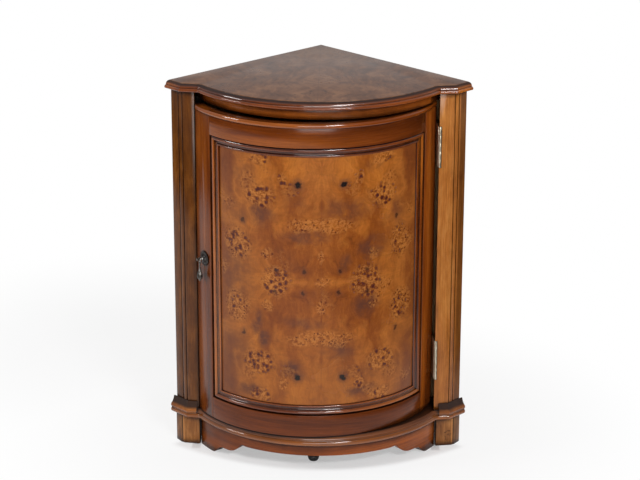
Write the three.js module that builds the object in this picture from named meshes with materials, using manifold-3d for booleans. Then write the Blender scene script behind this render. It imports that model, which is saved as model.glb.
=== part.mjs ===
// Bow fronted corner cupboard with a hinged door, a burr veneered panel and a drop pull.
// Millimetres, +Z up. The floor is z = 0 and the middle of the bounding box is x = 0, y = 0.
// The two back walls meet behind, at the +Y end, and the bowed front looks towards -Y.
import * as THREE from "three";
import { mergeVertices } from "three/addons/utils/BufferGeometryUtils.js";
import Module from "manifold-3d";

const wasm = await Module();
wasm.setup();

// Driving sizes of the whole cupboard
const HALF_WIDTH = 300; // from the middle to the end of each wall, without mouldings
const HEIGHT = 794;
const RETURN_WIDTH = 38; // canted return, square to the wall
const PILASTER_CANT = 8; // degrees that a pilaster's front turns outwards
const LATCH_OPENING = 251.5; // middle to the latch pilaster's inner side
const HINGE_OPENING = 245.3; // middle to the hinge pilaster's inner side
const BOW_DEPTH = 186; // back corner to the centre of the bow
const FRIEZE_RADIUS = 265; // shared by the frieze and the door's face
const NOMINAL_BOW = 275; // the bow that the top's edge is drawn from
const APRON_RADIUS = 284;
const HOLLOW_RADIUS = 24; // hollow corner between pilaster and bow
const FIT = 0.3; // gap between pieces that touch
const OVERRUN = 1; // how far a cutter passes through

// Levels
const BOTTOM_TOP = 84; // top face of the bottom board
const BOTTOM_THICKNESS = 20;
const TOP_THICKNESS = 16;
const FRIEZE_HEIGHT = 25;
const DOOR_GAP = 2; // under the frieze
const DOOR_SILL_GAP = 1.5; // above the bottom board
const FOOT_TOP = BOTTOM_TOP - BOTTOM_THICKNESS;
const TOP_UNDERSIDE = HEIGHT - TOP_THICKNESS;
const FRIEZE_BOTTOM = TOP_UNDERSIDE - FRIEZE_HEIGHT;
const DOOR_TOP = FRIEZE_BOTTOM - DOOR_GAP;
const DOOR_BOTTOM = BOTTOM_TOP + DOOR_SILL_GAP;

// Boards
const SIDE_THICKNESS = 8;
const REBATE_WIDTH = 12;
const POST_WIDTH = 45;
const FRIEZE_THICKNESS = 20;
const APRON_THICKNESS = 20;
const SHELF_THICKNESS = 16;
const SHELF_RISE = 340; // bottom board to the shelf's top face
const SHELF_CLEARANCE = 3; // behind the shut door

// Door
const AJAR = 6; // degrees that the door stands open at rest
const DOOR_THICKNESS = 19;
const LATCH_EDGE = 247.5; // middle to the free edge when shut
const HINGE_EDGE = 243.3; // middle to the hinged edge when shut
const HINGE_EDGE_DEPTH = 28; // width of the flat hinged edge
const LATCH_JOINT = -56.4; // degrees round the bow, stile against rail
const HINGE_JOINT = 54.1; // degrees, the same on the other side
const TOP_RAIL = 50;
const BOTTOM_RAIL = 46;
const PANEL_RECESS = 9.5; // door's face to the veneered face
const PANEL_THICKNESS = 7;
const GROOVE_DEPTH = 9;

// Hinges
const HINGE_LENGTH = 85;
const HINGE_DROP = 88.5; // door's top to the middle of the upper hinge
const HINGE_LIFT = 111; // door's bottom to the middle of the lower hinge
const BARREL_RADIUS = 2.8;
const PIN_RADIUS = 1.4;
const LEAF_THICKNESS = 1.5;
const PIN_OFFSET = 1.7; // hinge pilaster's inner side to the pin
const PIN_DEPTH = 329; // back corner to the pin

const PIN_LINE = HINGE_OPENING + PIN_OFFSET;
const HINGE_LEVELS = { upper: DOOR_TOP - HINGE_DROP, lower: DOOR_BOTTOM + HINGE_LIFT };
const SHELF_TOP = BOTTOM_TOP + SHELF_RISE;
const BOW = new THREE.Vector2(0, -BOW_DEPTH);
const HALF_ROOT = Math.SQRT1_2;
const ARC_STEP = 4; // degrees between corners of a faceted arc
const ROUND_STEPS = 12;
const DOOR_INNER = FRIEZE_RADIUS - DOOR_THICKNESS;
const PANEL_FACE = FRIEZE_RADIUS - PANEL_RECESS;
const PANEL_BACK = PANEL_FACE - PANEL_THICKNESS;
const SHELF_RADIUS = DOOR_INNER - SHELF_CLEARANCE;
const DOOR_CENTRE = (LATCH_JOINT + HINGE_JOINT) / 2;

// Mesh helpers

function solidOf(geometry) {
  const bare = geometry.clone();
  for (const name of Object.keys(bare.attributes)) {
    if (name !== "position") bare.deleteAttribute(name);
  }
  const merged = mergeVertices(bare, FIT / 1000);
  const vertProperties = new Float32Array(merged.attributes.position.array);
  const triVerts = new Uint32Array(merged.index.array);
  return new wasm.Manifold(new wasm.Mesh({ numProp: 3, vertProperties, triVerts }));
}

function geometryOf(solid) {
  const mesh = solid.getMesh();
  const geometry = new THREE.BufferGeometry();
  geometry.setAttribute("position", new THREE.BufferAttribute(new Float32Array(mesh.vertProperties), 3));
  geometry.setIndex(new THREE.BufferAttribute(new Uint32Array(mesh.triVerts), 1));
  geometry.computeVertexNormals();
  return geometry;
}

function cut(geometry, ...tools) {
  return geometryOf(tools.reduce((left, tool) => left.subtract(solidOf(tool)), solidOf(geometry)));
}

function join(geometry, ...others) {
  return geometryOf(others.reduce((sum, other) => sum.add(solidOf(other)), solidOf(geometry)));
}

function prism(points, low, high) {
  const shape = new THREE.Shape(points.map((p) => new THREE.Vector2(p.x, p.y)));
  const geometry = new THREE.ExtrudeGeometry(shape, { depth: high - low, bevelEnabled: false });
  return geometry.translate(0, 0, low);
}

function box(low, high) {
  const size = new THREE.Vector3().subVectors(high, low);
  const middle = new THREE.Vector3().addVectors(high, low).multiplyScalar(0.5);
  return new THREE.BoxGeometry(size.x, size.y, size.z).translate(middle.x, middle.y, middle.z);
}

function signedVolume(positions, index) {
  let six = 0;
  for (let i = 0; i < index.length; i += 3) {
    const [a, b, c] = [0, 1, 2].map((k) => positions[index[i + k]]);
    six += a.dot(new THREE.Vector3().crossVectors(b, c));
  }
  return six / 6;
}

// A closed skin through rings that all follow one flat section
function loft(section, rings) {
  const count = section.length;
  const points = rings.flat();
  const index = [];
  for (let ring = 0; ring + 1 < rings.length; ring += 1) {
    for (let j = 0; j < count; j += 1) {
      const a = ring * count + j;
      const b = ring * count + ((j + 1) % count);
      index.push(a, b, b + count, a, b + count, a + count);
    }
  }
  const flat = THREE.ShapeUtils.isClockWise(section) ? section.slice().reverse() : section;
  const place = new Map(section.map((p, j) => [p, j]));
  const last = (rings.length - 1) * count;
  for (const face of THREE.ShapeUtils.triangulateShape(flat, [])) {
    const [a, b, c] = face.map((k) => place.get(flat[k]));
    const turned = flat === section ? [a, c, b] : [a, b, c];
    index.push(...turned);
    index.push(last + turned[0], last + turned[2], last + turned[1]);
  }
  if (signedVolume(points, index) < 0) index.reverse();
  const geometry = new THREE.BufferGeometry().setFromPoints(points);
  geometry.setIndex(index);
  geometry.computeVertexNormals();
  return geometry;
}

function lathe(points, steps = ROUND_STEPS) {
  return new THREE.LatheGeometry(points.map(([r, h]) => new THREE.Vector2(r, h)), steps);
}

function upright(geometry) {
  return geometry.rotateX(Math.PI / 2);
}

function shares(table, across, along) {
  return table.map(([a, b]) => new THREE.Vector2(a * across, b * along));
}

// Plan helpers. The plan's origin is the back corner, and the front is at negative y.

function polar(radius, degrees) {
  const angle = THREE.MathUtils.degToRad(degrees);
  return new THREE.Vector2(radius * Math.sin(angle), -radius * Math.cos(angle)).add(BOW);
}

function angleAcross(radius, x) {
  return THREE.MathUtils.radToDeg(Math.asin(x / radius));
}

function arcAngles(from, to) {
  const angles = [from];
  for (let step = Math.floor(from / ARC_STEP) + 1; step * ARC_STEP < to; step += 1) {
    const angle = step * ARC_STEP;
    if (angle - from > ARC_STEP / 8 && to - angle > ARC_STEP / 8) angles.push(angle);
  }
  return [...angles, to];
}

function arc(radius, from, to) {
  return arcAngles(from, to).map((angle) => polar(radius, angle));
}

// A point along a wall from the back corner, and inwards from the wall; side -1 is the left wall
function wallPoint(side, along, inwards = 0) {
  const x = side * HALF_ROOT * (along - inwards);
  return new THREE.Vector2(x, -HALF_ROOT * (along + inwards));
}

// How far along a wall a line parallel to it meets a given distance from the middle
function alongAtWidth(width, inwards) {
  return width / HALF_ROOT + inwards;
}

function angleAtWall(side, inwards, radius) {
  const start = wallPoint(side, 0, inwards).sub(BOW);
  const way = wallPoint(side, 1);
  const half = start.dot(way);
  const along = -half + Math.sqrt(half * half - start.lengthSq() + radius * radius);
  const point = start.addScaledVector(way, along);
  return angleAcross(radius, point.x);
}

const mirrored = (p) => new THREE.Vector2(-p.x, p.y);

// The canted front, left half first: wall end, pilaster corner, hollow, bow, and back again.
// Each station has a base point and the way that an outward offset moves it.
function frontStations(bowRadius) {
  const wallWay = wallPoint(-1, 1);
  const cant = THREE.MathUtils.degToRad(PILASTER_CANT);
  const alongFront = new THREE.Vector2(Math.cos(cant), -Math.sin(cant));
  const outFront = new THREE.Vector2(-Math.sin(cant), -Math.cos(cant));
  const wallEnd = wallPoint(-1, HALF_WIDTH / HALF_ROOT);
  const corner = wallPoint(-1, HALF_WIDTH / HALF_ROOT, RETURN_WIDTH);
  const mitre = wallWay.clone().add(outFront).divideScalar(1 + wallWay.dot(outFront));
  const start = corner.clone().addScaledVector(outFront, HOLLOW_RADIUS).sub(BOW);
  const half = start.dot(alongFront);
  const reach = bowRadius + HOLLOW_RADIUS;
  const run = -half - Math.sqrt(half * half - start.lengthSq() + reach * reach);
  const centre = start.clone().addScaledVector(alongFront, run);
  const from = outFront.clone().negate().angle();
  const to = centre.clone().negate().angle();
  const left = [{ base: wallEnd, out: wallWay }, { base: corner, out: mitre }];
  const steps = 5;
  for (let i = 0; i <= steps; i += 1) {
    const turn = from + ((to - from) * i) / steps;
    const way = new THREE.Vector2(Math.cos(turn), Math.sin(turn));
    const base = centre.clone().add(BOW).addScaledVector(way, HOLLOW_RADIUS);
    left.push({ base, out: way.negate() });
  }
  const end = angleAcross(bowRadius, left.at(-1).base.x);
  const bow = arcAngles(end, -end).slice(1, -1);
  const middle = bow.map((angle) => ({ base: polar(bowRadius, angle), out: polar(1, angle).sub(BOW) }));
  const right = left.map(({ base, out }) => ({ base: mirrored(base), out: mirrored(out) })).reverse();
  return [...left, ...middle, ...right];
}

const offsetPoint = (station, offset) => station.base.clone().addScaledVector(station.out, offset);

// A moulding's section, as offsets and levels, carried along some of the stations
function moulding(section, stations) {
  const rings = stations.map((station) => section.map((p) => {
    const foot = offsetPoint(station, p.x);
    return new THREE.Vector3(foot.x, foot.y, p.y);
  }));
  return loft(section, rings);
}

// The five mitred lengths of a moulding that goes round the front
function mouldingLengths(name, section, bowRadius, overhang = 0, pilasterSection = section) {
  const stations = frontStations(bowRadius);
  const wayPast = stations[0].base.clone().sub(stations[1].base).normalize().multiplyScalar(overhang);
  stations[0].base.add(wayPast);
  stations.at(-1).base.add(mirrored(wayPast));
  const last = stations.length - 1;
  const lengths = [
    ["left_return", 0, 1, pilasterSection],
    ["left_cant", 1, 2, pilasterSection],
    ["bow", 2, last - 2, section],
    ["right_cant", last - 2, last - 1, pilasterSection],
    ["right_return", last - 1, last, pilasterSection],
  ];
  return lengths.map(([part, from, to, profile]) => (
    [`${name}_${part}`, moulding(profile, stations.slice(from, to + 1))]
  ));
}

// Materials

const finish = (color, roughness, metalness = 0) => ({ color, roughness, metalness });
const WALNUT = finish(0x6b3517, 0.35);
const WALNUT_LIGHT = finish(0x8a5a2e, 0.35);
const TOP_VENEER = finish(0x7a6459, 0.25);
const BURR = finish(0xa2652c, 0.3);
const INSIDE = finish(0x8f6a45, 0.6);
const BRASS = finish(0xb5a383, 0.35, 0.9);
const ANTIQUE = finish(0x4a443e, 0.4, 0.8);
const BLACK = finish(0x15120f, 0.5);
const STEEL = finish(0x8f8d88, 0.35, 0.9);

function node(name, geometry, look) {
  const mesh = new THREE.Mesh(geometry, new THREE.MeshStandardMaterial(look));
  mesh.name = name;
  return mesh;
}

// Top board and its edge moulding

const ARRIS = 5.3; // top board past the pilasters
const TOP_LIP = 17.2; // moulding's nose past the pilasters
const TOP_EDGE_DROP = 0.8; // moulding below the top's face

function topBoard() {
  const front = frontStations(NOMINAL_BOW).map((station) => offsetPoint(station, ARRIS));
  return prism([...front, new THREE.Vector2(0, 0)], TOP_UNDERSIDE, HEIGHT);
}

// Ovolo above a rounded nose, in shares of the projection and the height
const TOP_MOULDING_SHARES = [
  [0, 0], [0.6, 0], [0.86, 0.06], [0.98, 0.19], [1, 0.3], [0.93, 0.42], [0.8, 0.48], [0.7, 0.49],
  [0.66, 0.6], [0.54, 0.75], [0.36, 0.88], [0.16, 0.97], [0, 1],
];

function topMouldings() {
  const inner = ARRIS + FIT;
  const section = shares(TOP_MOULDING_SHARES, TOP_LIP - inner, TOP_THICKNESS - TOP_EDGE_DROP);
  section.forEach((p) => p.add(new THREE.Vector2(inner, TOP_UNDERSIDE)));
  return mouldingLengths("top_moulding", section, NOMINAL_BOW);
}

// Plinth moulding round the foot of the pilasters and the bottom board

const PLINTH_LIP = 11.5;
const PLINTH_OVERHANG = 7; // the returns' ends run past the wall ends of the pilasters
const PLINTH_MOULDING_SHARES = [
  [0, 0], [0.5, 0], [0.82, 0.07], [0.98, 0.25], [1, 0.4], [0.92, 0.54], [0.76, 0.6], [0.68, 0.6],
  [0.62, 0.72], [0.46, 0.86], [0.24, 0.96], [0, 1],
];


// On the pilasters the moulding goes on up in a cove
const COVE_RISE = 15; // above the bottom board
const COVE_TOP = BOTTOM_TOP + COVE_RISE;
const PLINTH_COVE_SHARES = [
  [0, 0], [0.5, 0], [0.82, 0.04], [0.98, 0.143], [1, 0.229], [0.92, 0.309], [0.76, 0.343], [0.7, 0.36],
  [0.56, 0.46], [0.4, 0.6], [0.25, 0.79], [0.14, 1], [0, 1],
];

function plinthMouldings() {
  const [section, coved] = [[PLINTH_MOULDING_SHARES, BOTTOM_TOP], [PLINTH_COVE_SHARES, COVE_TOP]].map(([table, top]) => {
    const points = shares(table, PLINTH_LIP - FIT, top - FOOT_TOP);
    points.forEach((p) => p.add(new THREE.Vector2(FIT, FOOT_TOP)));
    return points;
  });
  return mouldingLengths("plinth_moulding", section, APRON_RADIUS, PLINTH_OVERHANG, coved);
}

// Pilasters: a plain return, a quirked corner bead and a plain canted front

const BEAD_WIDTH = 10;
const BEAD_RISE = 1.2;
const QUIRK_WIDTH = 2;
const QUIRK_DEPTH = 2.4;
const CORNER_FLAT = 3.5; // from the bead's second quirk to the pilaster's corner

function returnProfile() {
  const end = RETURN_WIDTH - CORNER_FLAT;
  const bead = end - QUIRK_WIDTH;
  const start = bead - BEAD_WIDTH;
  const points = [[start - QUIRK_WIDTH, 0], [start - QUIRK_WIDTH / 2, -QUIRK_DEPTH], [start, 0]];
  const steps = 5;
  for (let i = 1; i < steps; i += 1) {
    const turn = (Math.PI * i) / steps;
    points.push([start + (BEAD_WIDTH / 2) * (1 - Math.cos(turn)), BEAD_RISE * Math.sin(turn)]);
  }
  points.push([bead, 0], [bead + QUIRK_WIDTH / 2, -QUIRK_DEPTH], [end, 0]);
  return points;
}

function frontAtWidth(width) {
  const corner = wallPoint(-1, HALF_WIDTH / HALF_ROOT, RETURN_WIDTH);
  const slope = Math.tan(THREE.MathUtils.degToRad(PILASTER_CANT));
  return new THREE.Vector2(-width, corner.y + slope * (width + corner.x));
}

function pilasterOutline(opening, profile) {
  const wallAlong = HALF_WIDTH / HALF_ROOT;
  const panelFace = SIDE_THICKNESS + FIT;
  const inside = alongAtWidth(opening, panelFace);
  return [
    wallPoint(-1, wallAlong),
    ...profile.map(([inwards, rise]) => wallPoint(-1, wallAlong + rise, inwards)),
    wallPoint(-1, wallAlong, RETURN_WIDTH),
    frontAtWidth(opening),
    wallPoint(-1, inside, panelFace),
    wallPoint(-1, inside + REBATE_WIDTH, panelFace),
    wallPoint(-1, inside + REBATE_WIDTH),
  ];
}

// The bead stops above the cove, and the foot of the pilaster is plain
function pilasterBlank(opening, side) {
  const [plain, beaded] = [[], returnProfile()].map((profile) => (
    pilasterOutline(opening, profile).map((p) => new THREE.Vector2(-side * p.x, p.y))
  ));
  return join(prism(plain, BOTTOM_TOP, COVE_TOP + FIT), prism(beaded, COVE_TOP + FIT, TOP_UNDERSIDE));
}

const LEAF_MORTISE = LEAF_THICKNESS + 2 * FIT;
const FRAME_LEAF_DEPTH = 36; // pin to the far edge of the leaf on the pilaster
const DOOR_LEAF_DEPTH = 64; // pin to the far edge of the long leaf on the door

function hingePilaster() {
  const blank = pilasterBlank(HINGE_OPENING, 1);
  const seats = [];
  for (const level of Object.values(HINGE_LEVELS)) {
    const low = level - HINGE_LENGTH / 2 - PIN_RADIUS;
    const high = level + HINGE_LENGTH / 2 + PIN_RADIUS;
    const clear = BARREL_RADIUS + 2 * FIT;
    const notch = upright(new THREE.CylinderGeometry(clear, clear, high - low, ROUND_STEPS));
    seats.push(notch.translate(PIN_LINE, -PIN_DEPTH, level));
    const face = HINGE_OPENING;
    seats.push(box(
      new THREE.Vector3(face - OVERRUN, -PIN_DEPTH, low),
      new THREE.Vector3(face + LEAF_MORTISE, FRAME_LEAF_DEPTH + FIT - PIN_DEPTH, high),
    ));
    for (const lift of SCREW_LIFTS) {
      seats.push(pilotHole(1, HINGE_OPENING, FRAME_SCREW_DEPTH, level + lift));
    }
  }
  return cut(blank, ...seats);
}

// Walls, corner post, boards and their cleats

function cornerPost() {
  const panelFace = SIDE_THICKNESS + FIT;
  const rebate = POST_WIDTH - REBATE_WIDTH;
  const half = [[rebate, 0], [rebate, panelFace], [POST_WIDTH, panelFace]].map(([a, b]) => wallPoint(-1, a, b));
  const inner = wallPoint(-1, POST_WIDTH, POST_WIDTH);
  const outline = [new THREE.Vector2(0, 0), ...half, inner, ...half.map(mirrored).reverse()];
  return prism(outline, 0, TOP_UNDERSIDE);
}

function sidePanel(side, opening) {
  const start = POST_WIDTH - REBATE_WIDTH + FIT;
  const end = alongAtWidth(opening, SIDE_THICKNESS + FIT) + REBATE_WIDTH - FIT;
  const corners = [[start, 0], [end, 0], [end, SIDE_THICKNESS], [start, SIDE_THICKNESS]];
  return prism(corners.map(([a, b]) => wallPoint(side, a, b)), FOOT_TOP, TOP_UNDERSIDE);
}

// The way round the corner post at the back of a board, from the right wall to the left
function backNotch() {
  const face = SIDE_THICKNESS + 2 * FIT;
  const clear = POST_WIDTH + 2 * FIT;
  return [wallPoint(1, clear, face), wallPoint(1, clear, clear), wallPoint(-1, clear, face)];
}

function bottomBoard() {
  const left = LATCH_OPENING - FIT;
  const right = HINGE_OPENING - FIT;
  const face = SIDE_THICKNESS + 2 * FIT;
  const front = arc(APRON_RADIUS, angleAcross(APRON_RADIUS, -left), angleAcross(APRON_RADIUS, right));
  const corners = [wallPoint(1, alongAtWidth(right, face), face), ...backNotch(), wallPoint(-1, alongAtWidth(left, face), face)];
  return prism([...front, ...corners], FOOT_TOP, BOTTOM_TOP);
}

// The shelf's right corner is cut back, clear of the hinged edge as it swings round the pin
function shelf() {
  const face = SIDE_THICKNESS + 2 * FIT;
  const front = arc(SHELF_RADIUS, angleAtWall(-1, face, SHELF_RADIUS), angleAtWall(1, face, SHELF_RADIUS));
  const board = prism([...front, ...backNotch()], SHELF_TOP - SHELF_THICKNESS, SHELF_TOP);
  const edge = polar(FRIEZE_RADIUS, angleAcross(FRIEZE_RADIUS, HINGE_EDGE)).y + HINGE_EDGE_DEPTH;
  const swing = Math.hypot(PIN_LINE - HINGE_EDGE, PIN_DEPTH + edge) + SHELF_CLEARANCE;
  const height = SHELF_THICKNESS + 2 * OVERRUN;
  const cutter = upright(new THREE.CylinderGeometry(swing, swing, height, 4 * ROUND_STEPS));
  return cut(board, cutter.translate(PIN_LINE, -PIN_DEPTH, SHELF_TOP - SHELF_THICKNESS / 2));
}

const CLEAT_SIZE = 18;
const CLEAT_START_SHARE = 0.16;
const CLEAT_END_SHARE = 0.76;
const BLOCK_SIZE = 22;
const BLOCK_START_SHARE = 0.4;
const BLOCK_END_SHARE = 0.6;

// A bar along a wall's inner face
function wallBar(side, shareFrom, shareTo, size, high) {
  const wall = HALF_WIDTH / HALF_ROOT;
  const face = SIDE_THICKNESS + FIT;
  const corners = [[shareFrom * wall, face], [shareTo * wall, face], [shareTo * wall, face + size], [shareFrom * wall, face + size]];
  return prism(corners.map(([a, b]) => wallPoint(side, a, b)), high - size, high);
}

// Frieze over the door

const FRIEZE_INNER_SHARE = 0.91; // where the frieze's inner curve ends, as a share of its angle

function friezeRail() {
  const ends = [-(LATCH_OPENING - FIT), HINGE_OPENING - FIT];
  const outer = ends.map((x) => angleAcross(FRIEZE_RADIUS, x));
  const inner = outer.map((angle) => angle * FRIEZE_INNER_SHARE);
  const back = ends.map((x) => wallPoint(Math.sign(x), alongAtWidth(Math.abs(x), SIDE_THICKNESS + 4 * FIT), SIDE_THICKNESS + 4 * FIT));
  const outline = [
    ...arc(FRIEZE_RADIUS, outer[0], outer[1]),
    back[1],
    ...arc(FRIEZE_RADIUS - FRIEZE_THICKNESS, inner[0], inner[1]).reverse(),
    back[0],
  ];
  return prism(outline, FRIEZE_BOTTOM, TOP_UNDERSIDE);
}

// Plinth: foot blocks and the scalloped apron

const FOOT_PROUD = 2.5; // foot past the pilaster's wall end
const FOOT_CORNER_INSET = 12; // wall end of the pilaster to the foot's front corner, across
const FOOT_CORNER_REACH = 23; // the same, forwards
const FOOT_CORNER_FLAT = 5; // width cut off each side of that corner
const FOOT_FRONT = 38; // width of the foot's front face
const FOOT_SLANT = 6; // how far that face runs forwards
const FOOT_BEVEL = 2.5;
const FOOT_CORNER_WIDTH = HALF_WIDTH - FOOT_CORNER_INSET;
const FOOT_CORNER_DEPTH = HALF_WIDTH + FOOT_CORNER_REACH;
const FOOT_END_WIDTH = FOOT_CORNER_WIDTH - FOOT_FRONT;
const FOOT_END_DEPTH = FOOT_CORNER_DEPTH + FOOT_SLANT;
const APRON_SHORT = 2.5; // shadow gap between apron and foot block
const APRON_ARCH = 39; // height of the apron's straight middle above the floor
const APRON_RIGHT_SPREAD = 1.05; // the right scroll sits a little further out than the left

function footOutline(inset) {
  const wallEnd = wallPoint(-1, (HALF_WIDTH + FOOT_PROUD) / HALF_ROOT - inset, inset);
  const corner = new THREE.Vector2(inset / 2 - FOOT_CORNER_WIDTH, inset - FOOT_CORNER_DEPTH);
  const frontEnd = new THREE.Vector2(-FOOT_END_WIDTH - inset, inset - FOOT_END_DEPTH);
  const towards = (end) => corner.clone().add(end.clone().sub(corner).setLength(FOOT_CORNER_FLAT));
  return [
    wallEnd,
    towards(wallEnd),
    towards(frontEnd),
    frontEnd,
    wallPoint(-1, alongAtWidth(FOOT_END_WIDTH + inset, inset), inset),
  ];
}

// The shaped foot, and above it the plain part that the plinth moulding covers
function footBlock(side, opening) {
  const levels = [[0, FOOT_BEVEL], [FOOT_BEVEL, 0], [FOOT_TOP, 0]];
  const rings = levels.map(([z, inset]) => footOutline(inset).map((p) => new THREE.Vector3(-side * p.x, p.y, z)));
  const upper = pilasterOutline(opening, []).map((p) => new THREE.Vector2(-side * p.x, p.y));
  return join(loft(footOutline(0), rings), prism(upper, FOOT_TOP, BOTTOM_TOP));
}

// The apron's lower edge, from its end to the middle: shares of its half angle and of the arch
const APRON_EDGE_SHARES = [
  [1, 0], [0.845, 0], [0.82, 0.06], [0.795, 0.22], [0.77, 0.4], [0.745, 0.47], [0.715, 0.48], [0.68, 0.48],
  [0.65, 0.51], [0.62, 0.6], [0.59, 0.78], [0.57, 0.94], [0.552, 1.03], [0.535, 1.02], [0.51, 1],
];

function apron() {
  const inner = APRON_RADIUS - APRON_THICKNESS;
  const end = angleAcross(APRON_RADIUS, FOOT_END_WIDTH - APRON_SHORT);
  const table = APRON_EDGE_SHARES.map(([turn, rise]) => [-turn * end, rise * APRON_ARCH]);
  const flat = arcAngles(table.at(-1)[0], -table.at(-1)[0]).slice(1, -1).map((angle) => [angle, APRON_ARCH]);
  const right = table.map(([turn, rise]) => [Math.min(-turn * APRON_RIGHT_SPREAD, end), rise]).reverse();
  const edge = [...table, ...flat, ...right];
  const section = [[inner, 0], [APRON_RADIUS, 0], [APRON_RADIUS, FOOT_TOP], [inner, FOOT_TOP]].map(([r, z]) => new THREE.Vector2(r, z));
  const rings = edge.map(([turn, rise]) => section.map(({ x, y }) => {
    const foot = polar(x, turn);
    return new THREE.Vector3(foot.x, foot.y, y > 0 ? y : rise);
  }));
  return loft(section, rings);
}

// Middle leg with a black glide under the bottom board

const LEG_DEPTH = 405;
const LEG_SIDE = 7.5;
const LEG_WIDTH = 22;
const GLIDE_RADIUS = 12;
const GLIDE_HEIGHT = 13;

function middleLeg() {
  const half = LEG_WIDTH / 2;
  return box(
    new THREE.Vector3(-LEG_SIDE - half, -LEG_DEPTH - half, GLIDE_HEIGHT + FIT),
    new THREE.Vector3(-LEG_SIDE + half, -LEG_DEPTH + half, FOOT_TOP),
  );
}

function legGlide() {
  const profile = [[0, 0], [0.45, 0], [0.8, 0.2], [0.96, 0.5], [1, 0.8], [0.96, 1], [0, 1]];
  const rounds = profile.map(([r, h]) => [r * GLIDE_RADIUS, h * GLIDE_HEIGHT]);
  return upright(lathe(rounds, 2 * ROUND_STEPS)).translate(-LEG_SIDE, -LEG_DEPTH, 0);
}

// Door stop with its magnet, against the latch pilaster

const STOP_GAP = 1.8; // shut door's edge to the stop
const STOP_WIDTH = 13;
const MAGNET_WIDTH = 8;
const MAGNET_DEPTH = 9;
const MAGNET_HEIGHT = 36;
const MAGNET_DROP = 191; // door's top to the magnet
const MAGNET_LEVEL = DOOR_TOP - MAGNET_DROP;
const STRIKE_THICKNESS = 1;
const STRIKE_WIDTH = 12;
const STRIKE_HEIGHT = 40;
const LATCH_END = angleAcross(FRIEZE_RADIUS, -LATCH_EDGE);

// A point seen from the door's free edge: across from the outer arris, and back from the edge
function edgePoint(across, back) {
  const way = polar(FRIEZE_RADIUS - across, LATCH_END);
  const angle = THREE.MathUtils.degToRad(LATCH_END);
  return way.add(new THREE.Vector2(-Math.cos(angle), -Math.sin(angle)).multiplyScalar(back));
}

function edgeBox(acrossLow, acrossHigh, backLow, backHigh, level, height) {
  const corners = [[acrossLow, backLow], [acrossHigh, backLow], [acrossHigh, backHigh], [acrossLow, backHigh]];
  return prism(corners.map(([a, b]) => edgePoint(a, b)), level - height / 2, level + height / 2);
}

const MAGNET_INSET = 3; // door's face to the magnet
const MAGNET_ACROSS = [MAGNET_INSET, MAGNET_INSET + MAGNET_WIDTH];

function doorStop() {
  const x = FIT - LATCH_OPENING;
  const slope = edgePoint(DOOR_THICKNESS, STOP_GAP).sub(edgePoint(0, STOP_GAP));
  const start = edgePoint(0, STOP_GAP);
  const depthAt = (width) => start.y + ((width - start.x) * slope.y) / slope.x;
  const face = SIDE_THICKNESS + 4 * FIT;
  const outline = [
    new THREE.Vector2(x, depthAt(x)),
    new THREE.Vector2(x + STOP_WIDTH, depthAt(x + STOP_WIDTH)),
    wallPoint(-1, alongAtWidth(-x - STOP_WIDTH, face), face),
    wallPoint(-1, alongAtWidth(-x, face), face),
  ];
  const strip = prism(outline, BOTTOM_TOP + FIT, FRIEZE_BOTTOM - FIT);
  const [low, high] = MAGNET_ACROSS;
  const pocket = edgeBox(low - FIT, high + FIT, STOP_GAP - OVERRUN, STOP_GAP + MAGNET_DEPTH + FIT, MAGNET_LEVEL, MAGNET_HEIGHT + 2 * FIT);
  return cut(strip, pocket);
}

function doorMagnet() {
  const [low, high] = MAGNET_ACROSS;
  return edgeBox(low, high, STOP_GAP, STOP_GAP + MAGNET_DEPTH, MAGNET_LEVEL, MAGNET_HEIGHT);
}

function strikePlate() {
  const low = MAGNET_ACROSS[0] - (STRIKE_WIDTH - MAGNET_WIDTH) / 2;
  return edgeBox(low, low + STRIKE_WIDTH, FIT, FIT + STRIKE_THICKNESS, MAGNET_LEVEL, STRIKE_HEIGHT);
}

// Door frame

const TENON_SHARE = 0.8; // of the groove's depth
const angleOver = (length, radius) => THREE.MathUtils.radToDeg(length / radius);
const GROOVE_TURN = angleOver(GROOVE_DEPTH, PANEL_FACE);
const TENON_TURN = GROOVE_TURN * TENON_SHARE;
const JOINT_TURN = angleOver(FIT, FRIEZE_RADIUS) / 2;

function ringSector(innerRadius, outerRadius, from, to, low, high) {
  return prism([...arc(outerRadius, from, to), ...arc(innerRadius, from, to).reverse()], low, high);
}

function latchStile() {
  const blank = ringSector(DOOR_INNER, FRIEZE_RADIUS, LATCH_END, LATCH_JOINT - JOINT_TURN, DOOR_BOTTOM, DOOR_TOP);
  const groove = ringSector(PANEL_BACK - FIT, PANEL_FACE + FIT, LATCH_JOINT - GROOVE_TURN, LATCH_JOINT + JOINT_TURN, DOOR_BOTTOM - OVERRUN, DOOR_TOP + OVERRUN);
  return cut(blank, groove, postHole());
}

function hingeStile() {
  const end = angleAcross(FRIEZE_RADIUS, HINGE_EDGE);
  const joint = HINGE_JOINT + JOINT_TURN;
  const outer = arc(FRIEZE_RADIUS, joint, end);
  const edge = outer.at(-1).clone().add(new THREE.Vector2(0, HINGE_EDGE_DEPTH));
  const blank = prism([...outer, edge, polar(DOOR_INNER, joint)], DOOR_BOTTOM, DOOR_TOP);
  const groove = ringSector(PANEL_BACK - FIT, PANEL_FACE + FIT, HINGE_JOINT - JOINT_TURN, HINGE_JOINT + GROOVE_TURN, DOOR_BOTTOM - OVERRUN, DOOR_TOP + OVERRUN);
  const pilots = [];
  for (const level of Object.values(HINGE_LEVELS)) {
    for (const lift of SCREW_LIFTS) pilots.push(pilotHole(-1, HINGE_EDGE, DOOR_SCREW_DEPTH, level + lift));
  }
  return cut(blank, groove, ...pilots);
}

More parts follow.
